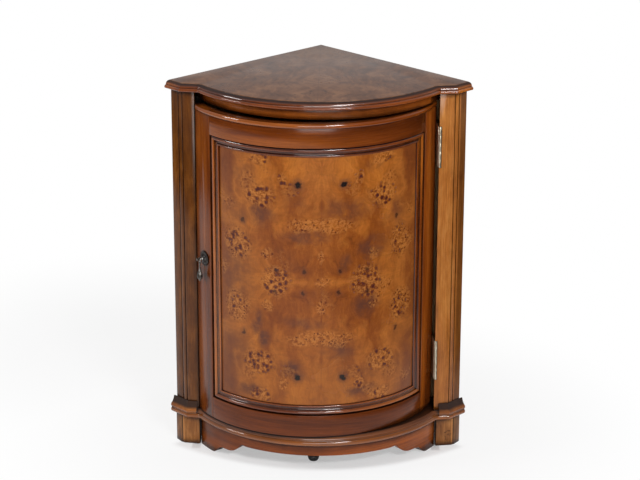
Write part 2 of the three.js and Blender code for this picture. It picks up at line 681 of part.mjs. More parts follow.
function doorRail(low, high, grooveLevel) {
  const from = LATCH_JOINT + JOINT_TURN;
  const to = HINGE_JOINT - JOINT_TURN;
  const blank = ringSector(DOOR_INNER, FRIEZE_RADIUS, from, to, low, high);
  const tongue = ringSector(PANEL_BACK, PANEL_FACE, LATCH_JOINT - TENON_TURN, HINGE_JOINT + TENON_TURN, low, high);
  const groove = ringSector(
    PANEL_BACK - FIT, PANEL_FACE + FIT, LATCH_JOINT - GROOVE_TURN - JOINT_TURN, HINGE_JOINT + GROOVE_TURN + JOINT_TURN,
    Math.min(grooveLevel, grooveLevel - Math.sign(high - grooveLevel) * OVERRUN) - (grooveLevel === high ? GROOVE_DEPTH : 0),
    grooveLevel === high ? high + OVERRUN : low + GROOVE_DEPTH,
  );
  return cut(join(blank, tongue), groove);
}

function burrPanel() {
  const from = LATCH_JOINT - TENON_TURN;
  const to = HINGE_JOINT + TENON_TURN;
  const inset = GROOVE_DEPTH * TENON_SHARE;
  return ringSector(PANEL_BACK, PANEL_FACE, from, to, DOOR_BOTTOM + BOTTOM_RAIL - inset, DOOR_TOP - TOP_RAIL + inset);
}

// Mouldings planted round the panel: distance from the frame, and height above the panel

const PANEL_MOULDING_WIDTH = 20;
const PANEL_MOULDING_HEIGHT = 7.4;
const PANEL_MOULDING_SHARES = [
  [0, 0], [1, 0], [1, 0.2], [0.95, 0.42], [0.86, 0.5], [0.78, 0.44], [0.72, 0.3], [0.6, 0.26],
  [0.46, 0.4], [0.38, 0.66], [0.32, 0.88], [0.22, 1], [0.1, 0.94], [0.03, 0.78], [0, 0.6],
];

// Maps a point of the unrolled door, by its way round the bow in degrees, to the bow
function onBow(turn, radius, level) {
  const foot = polar(radius, turn);
  return new THREE.Vector3(foot.x, foot.y, level);
}

// A plan point by its distance along the tangent at a turn, and its radius there
function onTangent(turn, along, radius) {
  const angle = THREE.MathUtils.degToRad(turn);
  return polar(radius, turn).addScaledVector(new THREE.Vector2(Math.cos(angle), Math.sin(angle)), along);
}

// The block that mitres one panel moulding: across and up are its signs at this corner
function mitreCutter(turn, across, level, up, forUpright) {
  const width = PANEL_MOULDING_WIDTH + OVERRUN;
  const gap = FIT * HALF_ROOT;
  const line = forUpright
    ? [[-OVERRUN, gap - OVERRUN], [width, width + gap], [width, -OVERRUN]]
    : [[gap - OVERRUN, -OVERRUN], [width + gap, width], [-2 * OVERRUN, width], [-2 * OVERRUN, -OVERRUN]];
  const half = PANEL_MOULDING_WIDTH / 2;
  const points = line.map(([a, b]) => new THREE.Vector2(across * (a - half), up * b));
  const depth = PANEL_MOULDING_HEIGHT + 4 * OVERRUN;
  const block = new THREE.ExtrudeGeometry(new THREE.Shape(points), { depth, bevelEnabled: false });
  const origin = onTangent(turn, 0, PANEL_FACE - OVERRUN);
  const tangent = onTangent(turn, 1, PANEL_FACE - OVERRUN).sub(origin);
  const frame = new THREE.Matrix4().makeBasis(
    new THREE.Vector3(tangent.x, tangent.y, 0), new THREE.Vector3(0, 0, 1), new THREE.Vector3(tangent.y, -tangent.x, 0),
  );
  return block.applyMatrix4(frame).translate(origin.x, origin.y, level);
}

function panelMouldings() {
  const section = shares(PANEL_MOULDING_SHARES, PANEL_MOULDING_WIDTH, PANEL_MOULDING_HEIGHT);
  const base = PANEL_FACE + FIT;
  const levels = [[DOOR_BOTTOM + BOTTOM_RAIL + FIT, 1, "bottom"], [DOOR_TOP - TOP_RAIL - FIT, -1, "top"]];
  const half = PANEL_MOULDING_WIDTH / 2;
  const edge = JOINT_TURN + angleOver(FIT, PANEL_FACE);
  const ends = [LATCH_JOINT + edge, HINGE_JOINT - edge];
  const sides = [[1, "left"], [-1, "right"]].map(([across, name], i) => (
    { across, name, turn: ends[i] + across * angleOver(half, PANEL_FACE) }
  ));
  const lengths = levels.map(([start, up, name]) => {
    const rings = arcAngles(...ends).map((turn) => section.map(({ x, y }) => onBow(turn, base + y, start + up * x)));
    const cutters = sides.map((side) => mitreCutter(side.turn, side.across, start, up, false));
    return [`panel_moulding_${name}`, cut(loft(section, rings), ...cutters)];
  });
  const uprights = sides.map(({ across, name, turn }) => {
    const outline = section.map(({ x, y }) => onTangent(turn, across * (x - half), base + y));
    const cutters = levels.map(([start, up]) => mitreCutter(turn, across, start, up, true));
    return [`panel_moulding_${name}`, cut(prism(outline, levels[0][0], levels[1][0]), ...cutters)];
  });
  return [...lengths, ...uprights];
}

// Bead along the top of the door's face

const DOOR_BEAD_HEIGHT = 9.5;
const DOOR_BEAD_RISE = 3;

function doorBead() {
  const steps = 6;
  const section = [];
  for (let i = 0; i <= steps; i += 1) {
    const turn = (Math.PI * i) / steps;
    section.push(new THREE.Vector2(DOOR_BEAD_RISE * Math.sin(turn), (DOOR_BEAD_HEIGHT / 2) * (1 - Math.cos(turn))));
  }
  const low = DOOR_TOP - DOOR_BEAD_HEIGHT;
  const ends = [-LATCH_EDGE, HINGE_EDGE].map((x) => angleAcross(FRIEZE_RADIUS + FIT + DOOR_BEAD_RISE, x));
  const rings = arcAngles(...ends).map((turn) => section.map(({ x, y }) => onBow(turn, FRIEZE_RADIUS + FIT + x, low + y)));
  return loft(section, rings);
}

// Hinges: five knuckles on a pin, a short leaf on the pilaster and a long leaf on the door

const KNUCKLES = 5;
const KNUCKLE_GAP = 0.3;
const LEAF_MARGIN = 3.1; // pin to the flat of a leaf
const DOOR_LEAF_FACE = HINGE_EDGE + FIT;
const FRAME_LEAF_FACE = HINGE_OPENING + FIT / 2;
const SCREW_LENGTH = 11;
const SCREW_HEAD = 3;
const SCREW_SHANK = 1.1;
const SCREW_GAP = 0.2;
const SCREW_SPREAD = 26; // middle of the hinge to each screw
const FRAME_SCREW_SETBACK = 22; // pin to the screws in the pilaster
const DOOR_SCREW_SETBACK = 44;
const SCREW_LIFTS = [-SCREW_SPREAD, SCREW_SPREAD];
const FRAME_SCREW_DEPTH = PIN_DEPTH - FRAME_SCREW_SETBACK;
const DOOR_SCREW_DEPTH = PIN_DEPTH - DOOR_SCREW_SETBACK;

// A turned piece that runs along X, towards the given side
function crosswise(geometry, side) {
  return geometry.rotateZ((-side * Math.PI) / 2);
}

function pilotHole(side, face, depth, level) {
  const radius = SCREW_SHANK + SCREW_GAP;
  const length = SCREW_LENGTH + SCREW_SHANK + 2 * OVERRUN;
  const hole = crosswise(new THREE.CylinderGeometry(radius, radius, length, ROUND_STEPS), side);
  return hole.translate(face + side * (length / 2 - OVERRUN), -depth, level);
}

function screwProfile(gap) {
  const head = SCREW_HEAD + gap;
  return [[0, 0], [head, 0], [SCREW_SHANK + gap, LEAF_THICKNESS - SCREW_GAP], [SCREW_SHANK + gap, SCREW_LENGTH], [0, SCREW_LENGTH + SCREW_SHANK]];
}

function screw(side, outerFace, depth, level) {
  return crosswise(lathe(screwProfile(0)), side).translate(outerFace, -depth, level);
}

function countersink(side, outerFace, depth, level) {
  return crosswise(lathe(screwProfile(SCREW_GAP)), side).translate(outerFace - side * SCREW_GAP / 4, -depth, level);
}

function knuckleSpan(place, level) {
  const pitch = HINGE_LENGTH / KNUCKLES;
  const low = level - HINGE_LENGTH / 2 + place * pitch + (place === 0 ? 0 : KNUCKLE_GAP / 2);
  const high = level - HINGE_LENGTH / 2 + (place + 1) * pitch - (place === KNUCKLES - 1 ? 0 : KNUCKLE_GAP / 2);
  return [low, high];
}

// One leaf: side 1 is the pilaster's, on the even knuckles; side -1 is the door's
function hingeLeaf(side, level) {
  const face = side > 0 ? FRAME_LEAF_FACE : DOOR_LEAF_FACE;
  const back = (side > 0 ? FRAME_LEAF_DEPTH : DOOR_LEAF_DEPTH) - PIN_DEPTH;
  const outer = side > 0 ? face : face + LEAF_THICKNESS;
  const screwDepth = side > 0 ? FRAME_SCREW_DEPTH : DOOR_SCREW_DEPTH;
  const half = HINGE_LENGTH / 2;
  const pieces = [];
  for (let place = side > 0 ? 0 : 1; place < KNUCKLES; place += 2) {
    const [low, high] = knuckleSpan(place, level);
    const barrel = upright(new THREE.CylinderGeometry(BARREL_RADIUS, BARREL_RADIUS, high - low, ROUND_STEPS));
    pieces.push(barrel.translate(PIN_LINE, -PIN_DEPTH, (low + high) / 2));
    pieces.push(box(
      new THREE.Vector3(face, -PIN_DEPTH, low),
      new THREE.Vector3(face + LEAF_THICKNESS, LEAF_MARGIN + OVERRUN - PIN_DEPTH, high),
    ));
  }
  const plate = box(
    new THREE.Vector3(face, LEAF_MARGIN - PIN_DEPTH, level - half),
    new THREE.Vector3(face + LEAF_THICKNESS, back, level + half),
  );
  const bore = PIN_RADIUS + SCREW_GAP;
  const pinHole = upright(new THREE.CylinderGeometry(bore, bore, HINGE_LENGTH + 2 * OVERRUN, ROUND_STEPS));
  const holes = SCREW_LIFTS.map((lift) => countersink(side, outer, screwDepth, level + lift));
  return cut(join(plate, ...pieces), pinHole.translate(PIN_LINE, -PIN_DEPTH, level), ...holes);
}

function hingePin(level) {
  const half = HINGE_LENGTH / 2;
  const tip = PIN_RADIUS / 2;
  const profile = [[0, -half - tip], [PIN_RADIUS * 0.7, -half - tip / 2], [PIN_RADIUS, -half], [PIN_RADIUS, half], [PIN_RADIUS * 0.7, half + tip / 2], [0, half + tip]];
  return upright(lathe(profile)).translate(PIN_LINE, -PIN_DEPTH, level);
}

function hingeScrews(place, level) {
  return SCREW_LIFTS.flatMap((lift, i) => [
    [`hinge_${place}_frame_screw_${i + 1}`, screw(1, FRAME_LEAF_FACE, FRAME_SCREW_DEPTH, level + lift), false],
    [`hinge_${place}_door_screw_${i + 1}`, screw(-1, DOOR_LEAF_FACE + LEAF_THICKNESS, DOOR_SCREW_DEPTH, level + lift), true],
  ]);
}

// Drop pull: rosette, post with its nut, and a pendant drop whose ring hangs on the post's waist

const PULL_TURN = -61.5; // degrees round the bow
const PULL_DROP = 319; // door's top to the pull
const PULL_LEVEL = DOOR_TOP - PULL_DROP;
const ROSETTE_RADIUS = 15.5;
const ROSETTE_THICKNESS = 5;
const POST_RADIUS = 2.2;
const POST_REACH = 12.5; // door's face to the middle of the ring
const COLLAR_RADIUS = 3.6;
const WAIST_RADIUS = 1.9;
const BALL_RADIUS = 3.3;
const RING_HOLE = 2.3;
const RING_THICKNESS = 2;
const DROP_LENGTH = 48; // middle of the ring to tip
const DROP_RADIUS = 6;
const NUT_RADIUS = 6;
const NUT_THICKNESS = 3.5;

// Moves a piece modelled with +Y out of the door and -Z up to its place on the bow
function onDoorFace(geometry, height = 0, standOff = 0) {
  const angle = THREE.MathUtils.degToRad(PULL_TURN);
  const tangent = new THREE.Vector3(Math.cos(angle), Math.sin(angle), 0);
  const out = new THREE.Vector3(Math.sin(angle), -Math.cos(angle), 0);
  const frame = new THREE.Matrix4().makeBasis(tangent, out, new THREE.Vector3(0, 0, -1));
  const foot = polar(FRIEZE_RADIUS + standOff, PULL_TURN);
  return geometry.applyMatrix4(frame).translate(foot.x, foot.y, PULL_LEVEL + height);
}

function postHole() {
  const radius = POST_RADIUS + FIT;
  const length = DOOR_THICKNESS + 4 * OVERRUN;
  return onDoorFace(new THREE.CylinderGeometry(radius, radius, length, ROUND_STEPS).translate(0, -DOOR_THICKNESS / 2, 0));
}

const ROSETTE_SHARES = [
  [1, 0], [1, 0.24], [0.94, 0.42], [0.87, 0.46], [0.8, 0.3], [0.62, 0.4], [0.5, 0.74], [0.36, 0.94], [0.24, 1],
];

function rosette() {
  const bore = POST_RADIUS + FIT;
  const rise = ROSETTE_SHARES.map(([r, h]) => [r * ROSETTE_RADIUS, h * ROSETTE_THICKNESS]);
  const profile = [[bore, 0], ...rise, [bore, ROSETTE_THICKNESS], [bore, 0]];
  return onDoorFace(lathe(profile, 2 * ROUND_STEPS), 0, FIT);
}

function pullPost() {
  const backEnd = -DOOR_THICKNESS - NUT_THICKNESS - OVERRUN;
  const collar = ROSETTE_THICKNESS + 2 * FIT;
  const before = POST_REACH - RING_THICKNESS / 2 - FIT;
  const after = POST_REACH + RING_THICKNESS / 2 + FIT;
  const ball = [1, 3, 5, 7, 9].map((tenth) => {
    const turn = (Math.PI * tenth) / 10;
    return [Math.max(BALL_RADIUS * Math.sin(turn), 0), after + BALL_RADIUS * (1 - Math.cos(turn))];
  });
  return onDoorFace(lathe([
    [0, backEnd], [POST_RADIUS, backEnd], [POST_RADIUS, collar], [COLLAR_RADIUS, collar],
    [COLLAR_RADIUS, collar + OVERRUN], [POST_RADIUS, collar + 2 * OVERRUN],
    [COLLAR_RADIUS * 0.8, before - OVERRUN], [WAIST_RADIUS, before], [WAIST_RADIUS, after],
    ...ball.filter(([r]) => r > WAIST_RADIUS), [0, after + 2 * BALL_RADIUS],
  ]));
}

function postNut() {
  const inner = POST_RADIUS + FIT;
  const profile = [[inner, 0], [NUT_RADIUS, 0], [NUT_RADIUS, NUT_THICKNESS], [inner, NUT_THICKNESS], [inner, 0]];
  return onDoorFace(lathe(profile, ROUND_STEPS).translate(0, -DOOR_THICKNESS - NUT_THICKNESS - FIT, 0));
}

// Pendant's outline below its ring, in shares of its radius and length
const DROP_SHARES = [
  [0, 0.07], [0.26, 0.075], [0.42, 0.12], [0.44, 0.15], [0.32, 0.19], [0.28, 0.24], [0.32, 0.34], [0.44, 0.46],
  [0.66, 0.58], [0.9, 0.67], [1, 0.75], [0.94, 0.82], [0.7, 0.89], [0.36, 0.93], [0.26, 0.96], [0.14, 0.99], [0, 1],
];

function drop() {
  const body = lathe(DROP_SHARES.map(([r, h]) => [r * DROP_RADIUS, h * DROP_LENGTH]));
  const half = RING_THICKNESS / 2;
  const ring = new THREE.TorusGeometry(RING_HOLE + half, half, ROUND_STEPS, 2 * ROUND_STEPS);
  return onDoorFace(join(body.rotateX(Math.PI / 2), ring.rotateX(Math.PI / 2)).translate(0, POST_REACH, 0));
}

// Assembly

function carcase() {
  const pieces = [
    node("top_board", topBoard(), TOP_VENEER),
    ...topMouldings().map(([name, shape]) => node(name, shape, WALNUT)),
    node("frieze_rail", friezeRail(), WALNUT),
    node("latch_pilaster", pilasterBlank(LATCH_OPENING, -1), WALNUT_LIGHT),
    node("hinge_pilaster", hingePilaster(), WALNUT_LIGHT),
    node("side_panel_left", sidePanel(-1, LATCH_OPENING), INSIDE),
    node("side_panel_right", sidePanel(1, HINGE_OPENING), INSIDE),
    node("corner_post", cornerPost(), INSIDE),
    node("bottom_board", bottomBoard(), INSIDE),
    node("shelf", shelf(), INSIDE),
    node("apron", apron(), WALNUT),
    ...plinthMouldings().map(([name, shape]) => node(name, shape, WALNUT)),
    node("middle_leg", middleLeg(), INSIDE),
    node("middle_glide", legGlide(), BLACK),
    node("door_stop", doorStop(), INSIDE),
    node("door_magnet", doorMagnet(), BLACK),
  ];
  for (const [side, name, opening] of [[-1, "left", LATCH_OPENING], [1, "right", HINGE_OPENING]]) {
    pieces.push(node(`foot_block_${name}`, footBlock(side, opening), WALNUT_LIGHT));
    pieces.push(node(`shelf_cleat_${name}`, wallBar(side, CLEAT_START_SHARE, CLEAT_END_SHARE, CLEAT_SIZE, SHELF_TOP - SHELF_THICKNESS), INSIDE));
    pieces.push(node(`top_block_${name}`, wallBar(side, BLOCK_START_SHARE, BLOCK_END_SHARE, BLOCK_SIZE, TOP_UNDERSIDE), INSIDE));
  }
  return pieces;
}

function doorPieces() {
  return [
    node("latch_stile", latchStile(), WALNUT),
    node("hinge_stile", hingeStile(), WALNUT),
    node("door_top_rail", doorRail(DOOR_TOP - TOP_RAIL, DOOR_TOP, DOOR_TOP - TOP_RAIL), WALNUT),
    node("door_bottom_rail", doorRail(DOOR_BOTTOM, DOOR_BOTTOM + BOTTOM_RAIL, DOOR_BOTTOM + BOTTOM_RAIL), WALNUT),
    node("burr_panel", burrPanel(), BURR),
    ...panelMouldings().map(([name, shape]) => node(name, shape, WALNUT)),
    node("door_bead", doorBead(), WALNUT),
    node("strike_plate", strikePlate(), STEEL),
    node("pull_rosette", rosette(), ANTIQUE),
    node("pull_post", pullPost(), ANTIQUE),
    node("pull_nut", postNut(), ANTIQUE),
    node("pull_drop", drop(), ANTIQUE),
  ];
}

const door = new THREE.Group();
const shut = new THREE.Group();
shut.position.set(-PIN_LINE, PIN_DEPTH, 0);
door.add(shut);
door.position.set(PIN_LINE, -PIN_DEPTH, 0);
door.rotation.z = THREE.MathUtils.degToRad(AJAR);
shut.add(...doorPieces());

const cupboard = new THREE.Group();
const overallDepth = BOW_DEPTH + APRON_RADIUS + PLINTH_LIP;
cupboard.position.y = overallDepth / 2;
cupboard.add(door, ...carcase());
for (const [place, level] of Object.entries(HINGE_LEVELS)) {
  cupboard.add(node(`hinge_${place}_frame_leaf`, hingeLeaf(1, level), BRASS));
  shut.add(node(`hinge_${place}_door_leaf`, hingeLeaf(-1, level), BRASS));
  cupboard.add(node(`hinge_${place}_pin`, hingePin(level), BRASS));
  for (const [name, shape, onDoor] of hingeScrews(place, level)) {
    (onDoor ? shut : cupboard).add(node(name, shape, STEEL));
  }
}

export default cupboard;
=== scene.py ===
"""Bow-fronted corner cupboard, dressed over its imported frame.

Every piece is modelled in metres in the frame's own axes: +X to the right, +Y to the back
corner, +Z up. Door pieces are made with the door shut and then turned ajar with it.
"""

import logging
import math
from contextlib import contextmanager
from dataclasses import dataclass
from enum import Enum
from typing import Any, Callable, Iterator, Optional, Sequence, Union

import bpy
from mathutils import Matrix, Vector


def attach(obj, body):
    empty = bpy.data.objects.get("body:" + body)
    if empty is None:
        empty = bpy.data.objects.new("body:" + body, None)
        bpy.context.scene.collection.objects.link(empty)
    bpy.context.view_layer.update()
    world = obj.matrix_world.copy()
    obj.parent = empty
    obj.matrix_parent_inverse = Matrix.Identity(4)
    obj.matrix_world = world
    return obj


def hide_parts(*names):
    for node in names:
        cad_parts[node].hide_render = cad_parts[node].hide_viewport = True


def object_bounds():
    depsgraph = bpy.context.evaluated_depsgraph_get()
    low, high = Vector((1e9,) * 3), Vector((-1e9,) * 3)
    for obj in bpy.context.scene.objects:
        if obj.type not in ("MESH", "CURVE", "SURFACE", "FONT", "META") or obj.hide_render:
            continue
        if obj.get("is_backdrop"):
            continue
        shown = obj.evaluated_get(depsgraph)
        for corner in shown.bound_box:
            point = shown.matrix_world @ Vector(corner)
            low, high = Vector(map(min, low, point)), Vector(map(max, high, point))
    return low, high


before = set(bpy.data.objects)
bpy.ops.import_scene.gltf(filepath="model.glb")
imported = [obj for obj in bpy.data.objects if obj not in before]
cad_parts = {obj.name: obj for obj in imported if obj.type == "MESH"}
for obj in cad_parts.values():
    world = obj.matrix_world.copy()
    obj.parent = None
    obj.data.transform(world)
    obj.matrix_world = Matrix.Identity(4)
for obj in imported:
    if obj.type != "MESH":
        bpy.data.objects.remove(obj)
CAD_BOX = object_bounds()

log = logging.getLogger("cupboard")

Point = tuple[float, float]
Triple = tuple[float, float, float]
Colour = tuple[float, float, float]
Number = Union[float, "Value"]
Socket = bpy.types.NodeSocket

RIGHT = Vector((1.0, 0.0, 0.0))
BACKWARDS = Vector((0.0, 1.0, 0.0))
UP = Vector((0.0, 0.0, 1.0))
BOW_STEPS = 124
HOLLOW_STEPS = 12
CARVED_EDGE = 60.0
PLAIN_EDGE = 50.0
GRAIN = "grain"


# Plan of the cupboard


class Side(Enum):
    """The two sides of the cupboard, as the sign of X."""

    LEFT = -1
    RIGHT = 1


@dataclass(frozen=True)
class Plan:
    """Sizes shared by all parts of the cupboard, in metres and degrees."""

    half_width: float = 0.300
    height: float = 0.794
    return_width: float = 0.038
    cant: float = 8.0
    latch_opening: float = 0.2515
    hinge_opening: float = 0.2453
    bow_depth: float = 0.186
    frieze_radius: float = 0.265
    nominal_bow: float = 0.275
    apron_radius: float = 0.284
    hollow_radius: float = 0.024
    back: float = 0.24075
    fit: float = 0.0003
    foot_top: float = 0.064
    bottom_top: float = 0.084
    cove_top: float = 0.099
    top_underside: float = 0.778
    frieze_bottom: float = 0.753
    door_top: float = 0.751
    door_bottom: float = 0.0855
    latch_edge: float = 0.2475
    hinge_edge: float = 0.2433
    latch_joint: float = -56.4
    hinge_joint: float = 54.1
    pin_line: float = 0.247
    pin_depth: float = 0.329
    ajar: float = 6.0

    @property
    def bow(self) -> Vector:
        """Centre of the bow on the floor."""
        return Vector((0.0, self.back - self.bow_depth, 0.0))

    def on_bow(self, radius: float, degrees: float, level: float = 0.0) -> Vector:
        """A point round the bow; the middle of the front is at 0 degrees.

        Args:
            radius: Distance from the bow's centre.
            degrees: Way round the bow, positive to the right.
            level: Height above the floor.

        Returns:
            The point in the frame's axes.
        """
        turn = math.radians(degrees)
        return self.bow + Vector((radius * math.sin(turn), -radius * math.cos(turn), level))

    def out_at(self, degrees: float) -> Vector:
        """The way out of the bow at an angle."""
        return (self.on_bow(1.0, degrees) - self.bow).normalized()

    def turn_at(self, radius: float, across: float) -> float:
        """The angle at which a radius reaches a distance from the middle."""
        return math.degrees(math.asin(across / radius))

    def wall(self, side: Side, along: float, inwards: float = 0.0) -> Vector:
        """A point along a wall from the back corner, and inwards from it.

        Args:
            side: The wall's side.
            along: Distance from the back corner.
            inwards: Distance from the wall.

        Returns:
            The point on the floor.
        """
        half = math.sqrt(0.5)
        across = side.value * half * (along - inwards)
        return Vector((across, self.back - half * (along + inwards), 0.0))

    @property
    def wall_length(self) -> float:
        """Length of a wall from the back corner to the pilaster's end."""
        return self.half_width * math.sqrt(2.0)

    @property
    def pin(self) -> Vector:
        """The door's pin on the floor."""
        return Vector((self.pin_line, self.back - self.pin_depth, 0.0))

    @property
    def door_turn(self) -> Matrix:
        """Turns a piece of the shut door to where the door stands ajar."""
        turn = Matrix.Rotation(math.radians(self.ajar), 4, "Z")
        return Matrix.Translation(self.pin) @ turn @ Matrix.Translation(-self.pin)


PLAN = Plan()


@dataclass(frozen=True)
class FrontLine:
    """The left half of the canted front line: wall end, corner, and hollow into the bow."""

    bow_radius: float
    overhang: float = 0.0

    @property
    def out_wall(self) -> Vector:
        """The way out of the short return."""
        return Vector((-math.sqrt(0.5), -math.sqrt(0.5), 0.0))

    @property
    def along(self) -> Vector:
        """The way along the canted front, towards the bow."""
        cant = math.radians(PLAN.cant)
        return Vector((math.cos(cant), -math.sin(cant), 0.0))

    @property
    def out_front(self) -> Vector:
        """The way out of the canted front."""
        cant = math.radians(PLAN.cant)
        return Vector((-math.sin(cant), -math.cos(cant), 0.0))

    @property
    def corner(self) -> Vector:
        """The corner between the return and the canted front."""
        return PLAN.wall(Side.LEFT, PLAN.wall_length, PLAN.return_width)

    @property
    def end(self) -> Vector:
        """The return's end at the wall, with its overhang."""
        end = PLAN.wall(Side.LEFT, PLAN.wall_length)
        return end + (end - self.corner).normalized() * self.overhang

    @property
    def mitre(self) -> Vector:
        """The way that the corner moves for an offset of 1."""
        return (self.out_wall + self.out_front) / (1.0 + self.out_wall.dot(self.out_front))

    @property
    def hollow_centre(self) -> Vector:
        """Centre of the hollow between the canted front and the bow.

        Returns:
            The point on the floor.
        """
        start = self.corner + self.out_front * PLAN.hollow_radius - PLAN.bow
        half = start.dot(self.along)
        reach = self.bow_radius + PLAN.hollow_radius
        run = -half - math.sqrt(half * half - start.length_squared + reach * reach)
        return PLAN.bow + start + self.along * run

    @property
    def hollow_start(self) -> Vector:
        """Where the canted front runs into the hollow."""
        return self.hollow_centre - self.out_front * PLAN.hollow_radius

    @property
    def hollow_turn(self) -> float:
        """Degrees that the hollow turns; negative, as it turns back."""
        spoke = self.hollow_centre - PLAN.bow
        return -math.degrees(self.out_front.angle(spoke))

    @property
    def bow_start(self) -> float:
        """The angle at which the hollow meets the bow."""
        spoke = self.hollow_centre - PLAN.bow
        return math.degrees(math.atan2(spoke.x, -spoke.y))

    def outline(self, offset: float) -> list[Vector]:
        """The whole front line moved out by an offset, from left to right.

        Args:
            offset: Distance outwards.

        Returns:
            Points on the floor.
        """
        left = [self.end + self.out_wall * offset, self.corner + self.mitre * offset]
        centre = self.hollow_centre
        spoke = -self.out_front * (PLAN.hollow_radius - offset)
        for step in range(HOLLOW_STEPS + 1):
            turn = Matrix.Rotation(math.radians(self.hollow_turn * step / HOLLOW_STEPS), 3, "Z")
            left.append(centre + turn @ spoke)
        bow = []
        for step in range(1, BOW_STEPS):
            turn = self.bow_start * (1.0 - 2.0 * step / BOW_STEPS)
            bow.append(PLAN.on_bow(self.bow_radius + offset, turn))
        return left + bow + [Vector((-p.x, p.y, 0.0)) for p in reversed(left)]


# Sections


def arc_points(centre: Point, radii: Point, start: float, end: float, count: int) -> list[Point]:
    """Points of an elliptical arc.

    Args:
        centre: Centre of the arc.
        radii: Radius across and radius up.
        start: First angle in degrees, from the first axis.
        end: Last angle in degrees.
        count: Number of steps.

    Returns:
        The points in order.
    """
    points = []
    for step in range(count + 1):
        turn = math.radians(start + (end - start) * step / count)
        points.append((centre[0] + radii[0] * math.cos(turn), centre[1] + radii[1] * math.sin(turn)))
    return points


def circle(centre: Vector, first: Vector, second: Vector, radius: float, sides: int) -> list[Vector]:
    """Points of a circle.

    Args:
        centre: Its middle.
        first: The way to its first point.
        second: The way to the point a quarter further.
        radius: Its radius.
        sides: Number of points.

    Returns:
        The points in order.
    """
    turns = [math.tau * step / sides for step in range(sides)]
    return [centre + first * (radius * math.cos(t)) + second * (radius * math.sin(t)) for t in turns]


def bow_points(radius: float, start: float, end: float, steps: int) -> list[Vector]:
    """Points round the bow, on the floor."""
    return [PLAN.on_bow(radius, start + (end - start) * step / steps) for step in range(steps + 1)]


def lifted(points: Sequence[Vector], level: float) -> list[Vector]:
    """Points of a plan, moved to a level."""
    return [Vector((p.x, p.y, level)) for p in points]


# Bench: one mesh and the operators that shape it


class Crease(Enum):
    """Degrees above which an edge stays crisp, for each kind of piece."""

    MOULDED = 34.0
    PLAIN = 40.0
    BOWED = 44.0
    ROUND = 50.0


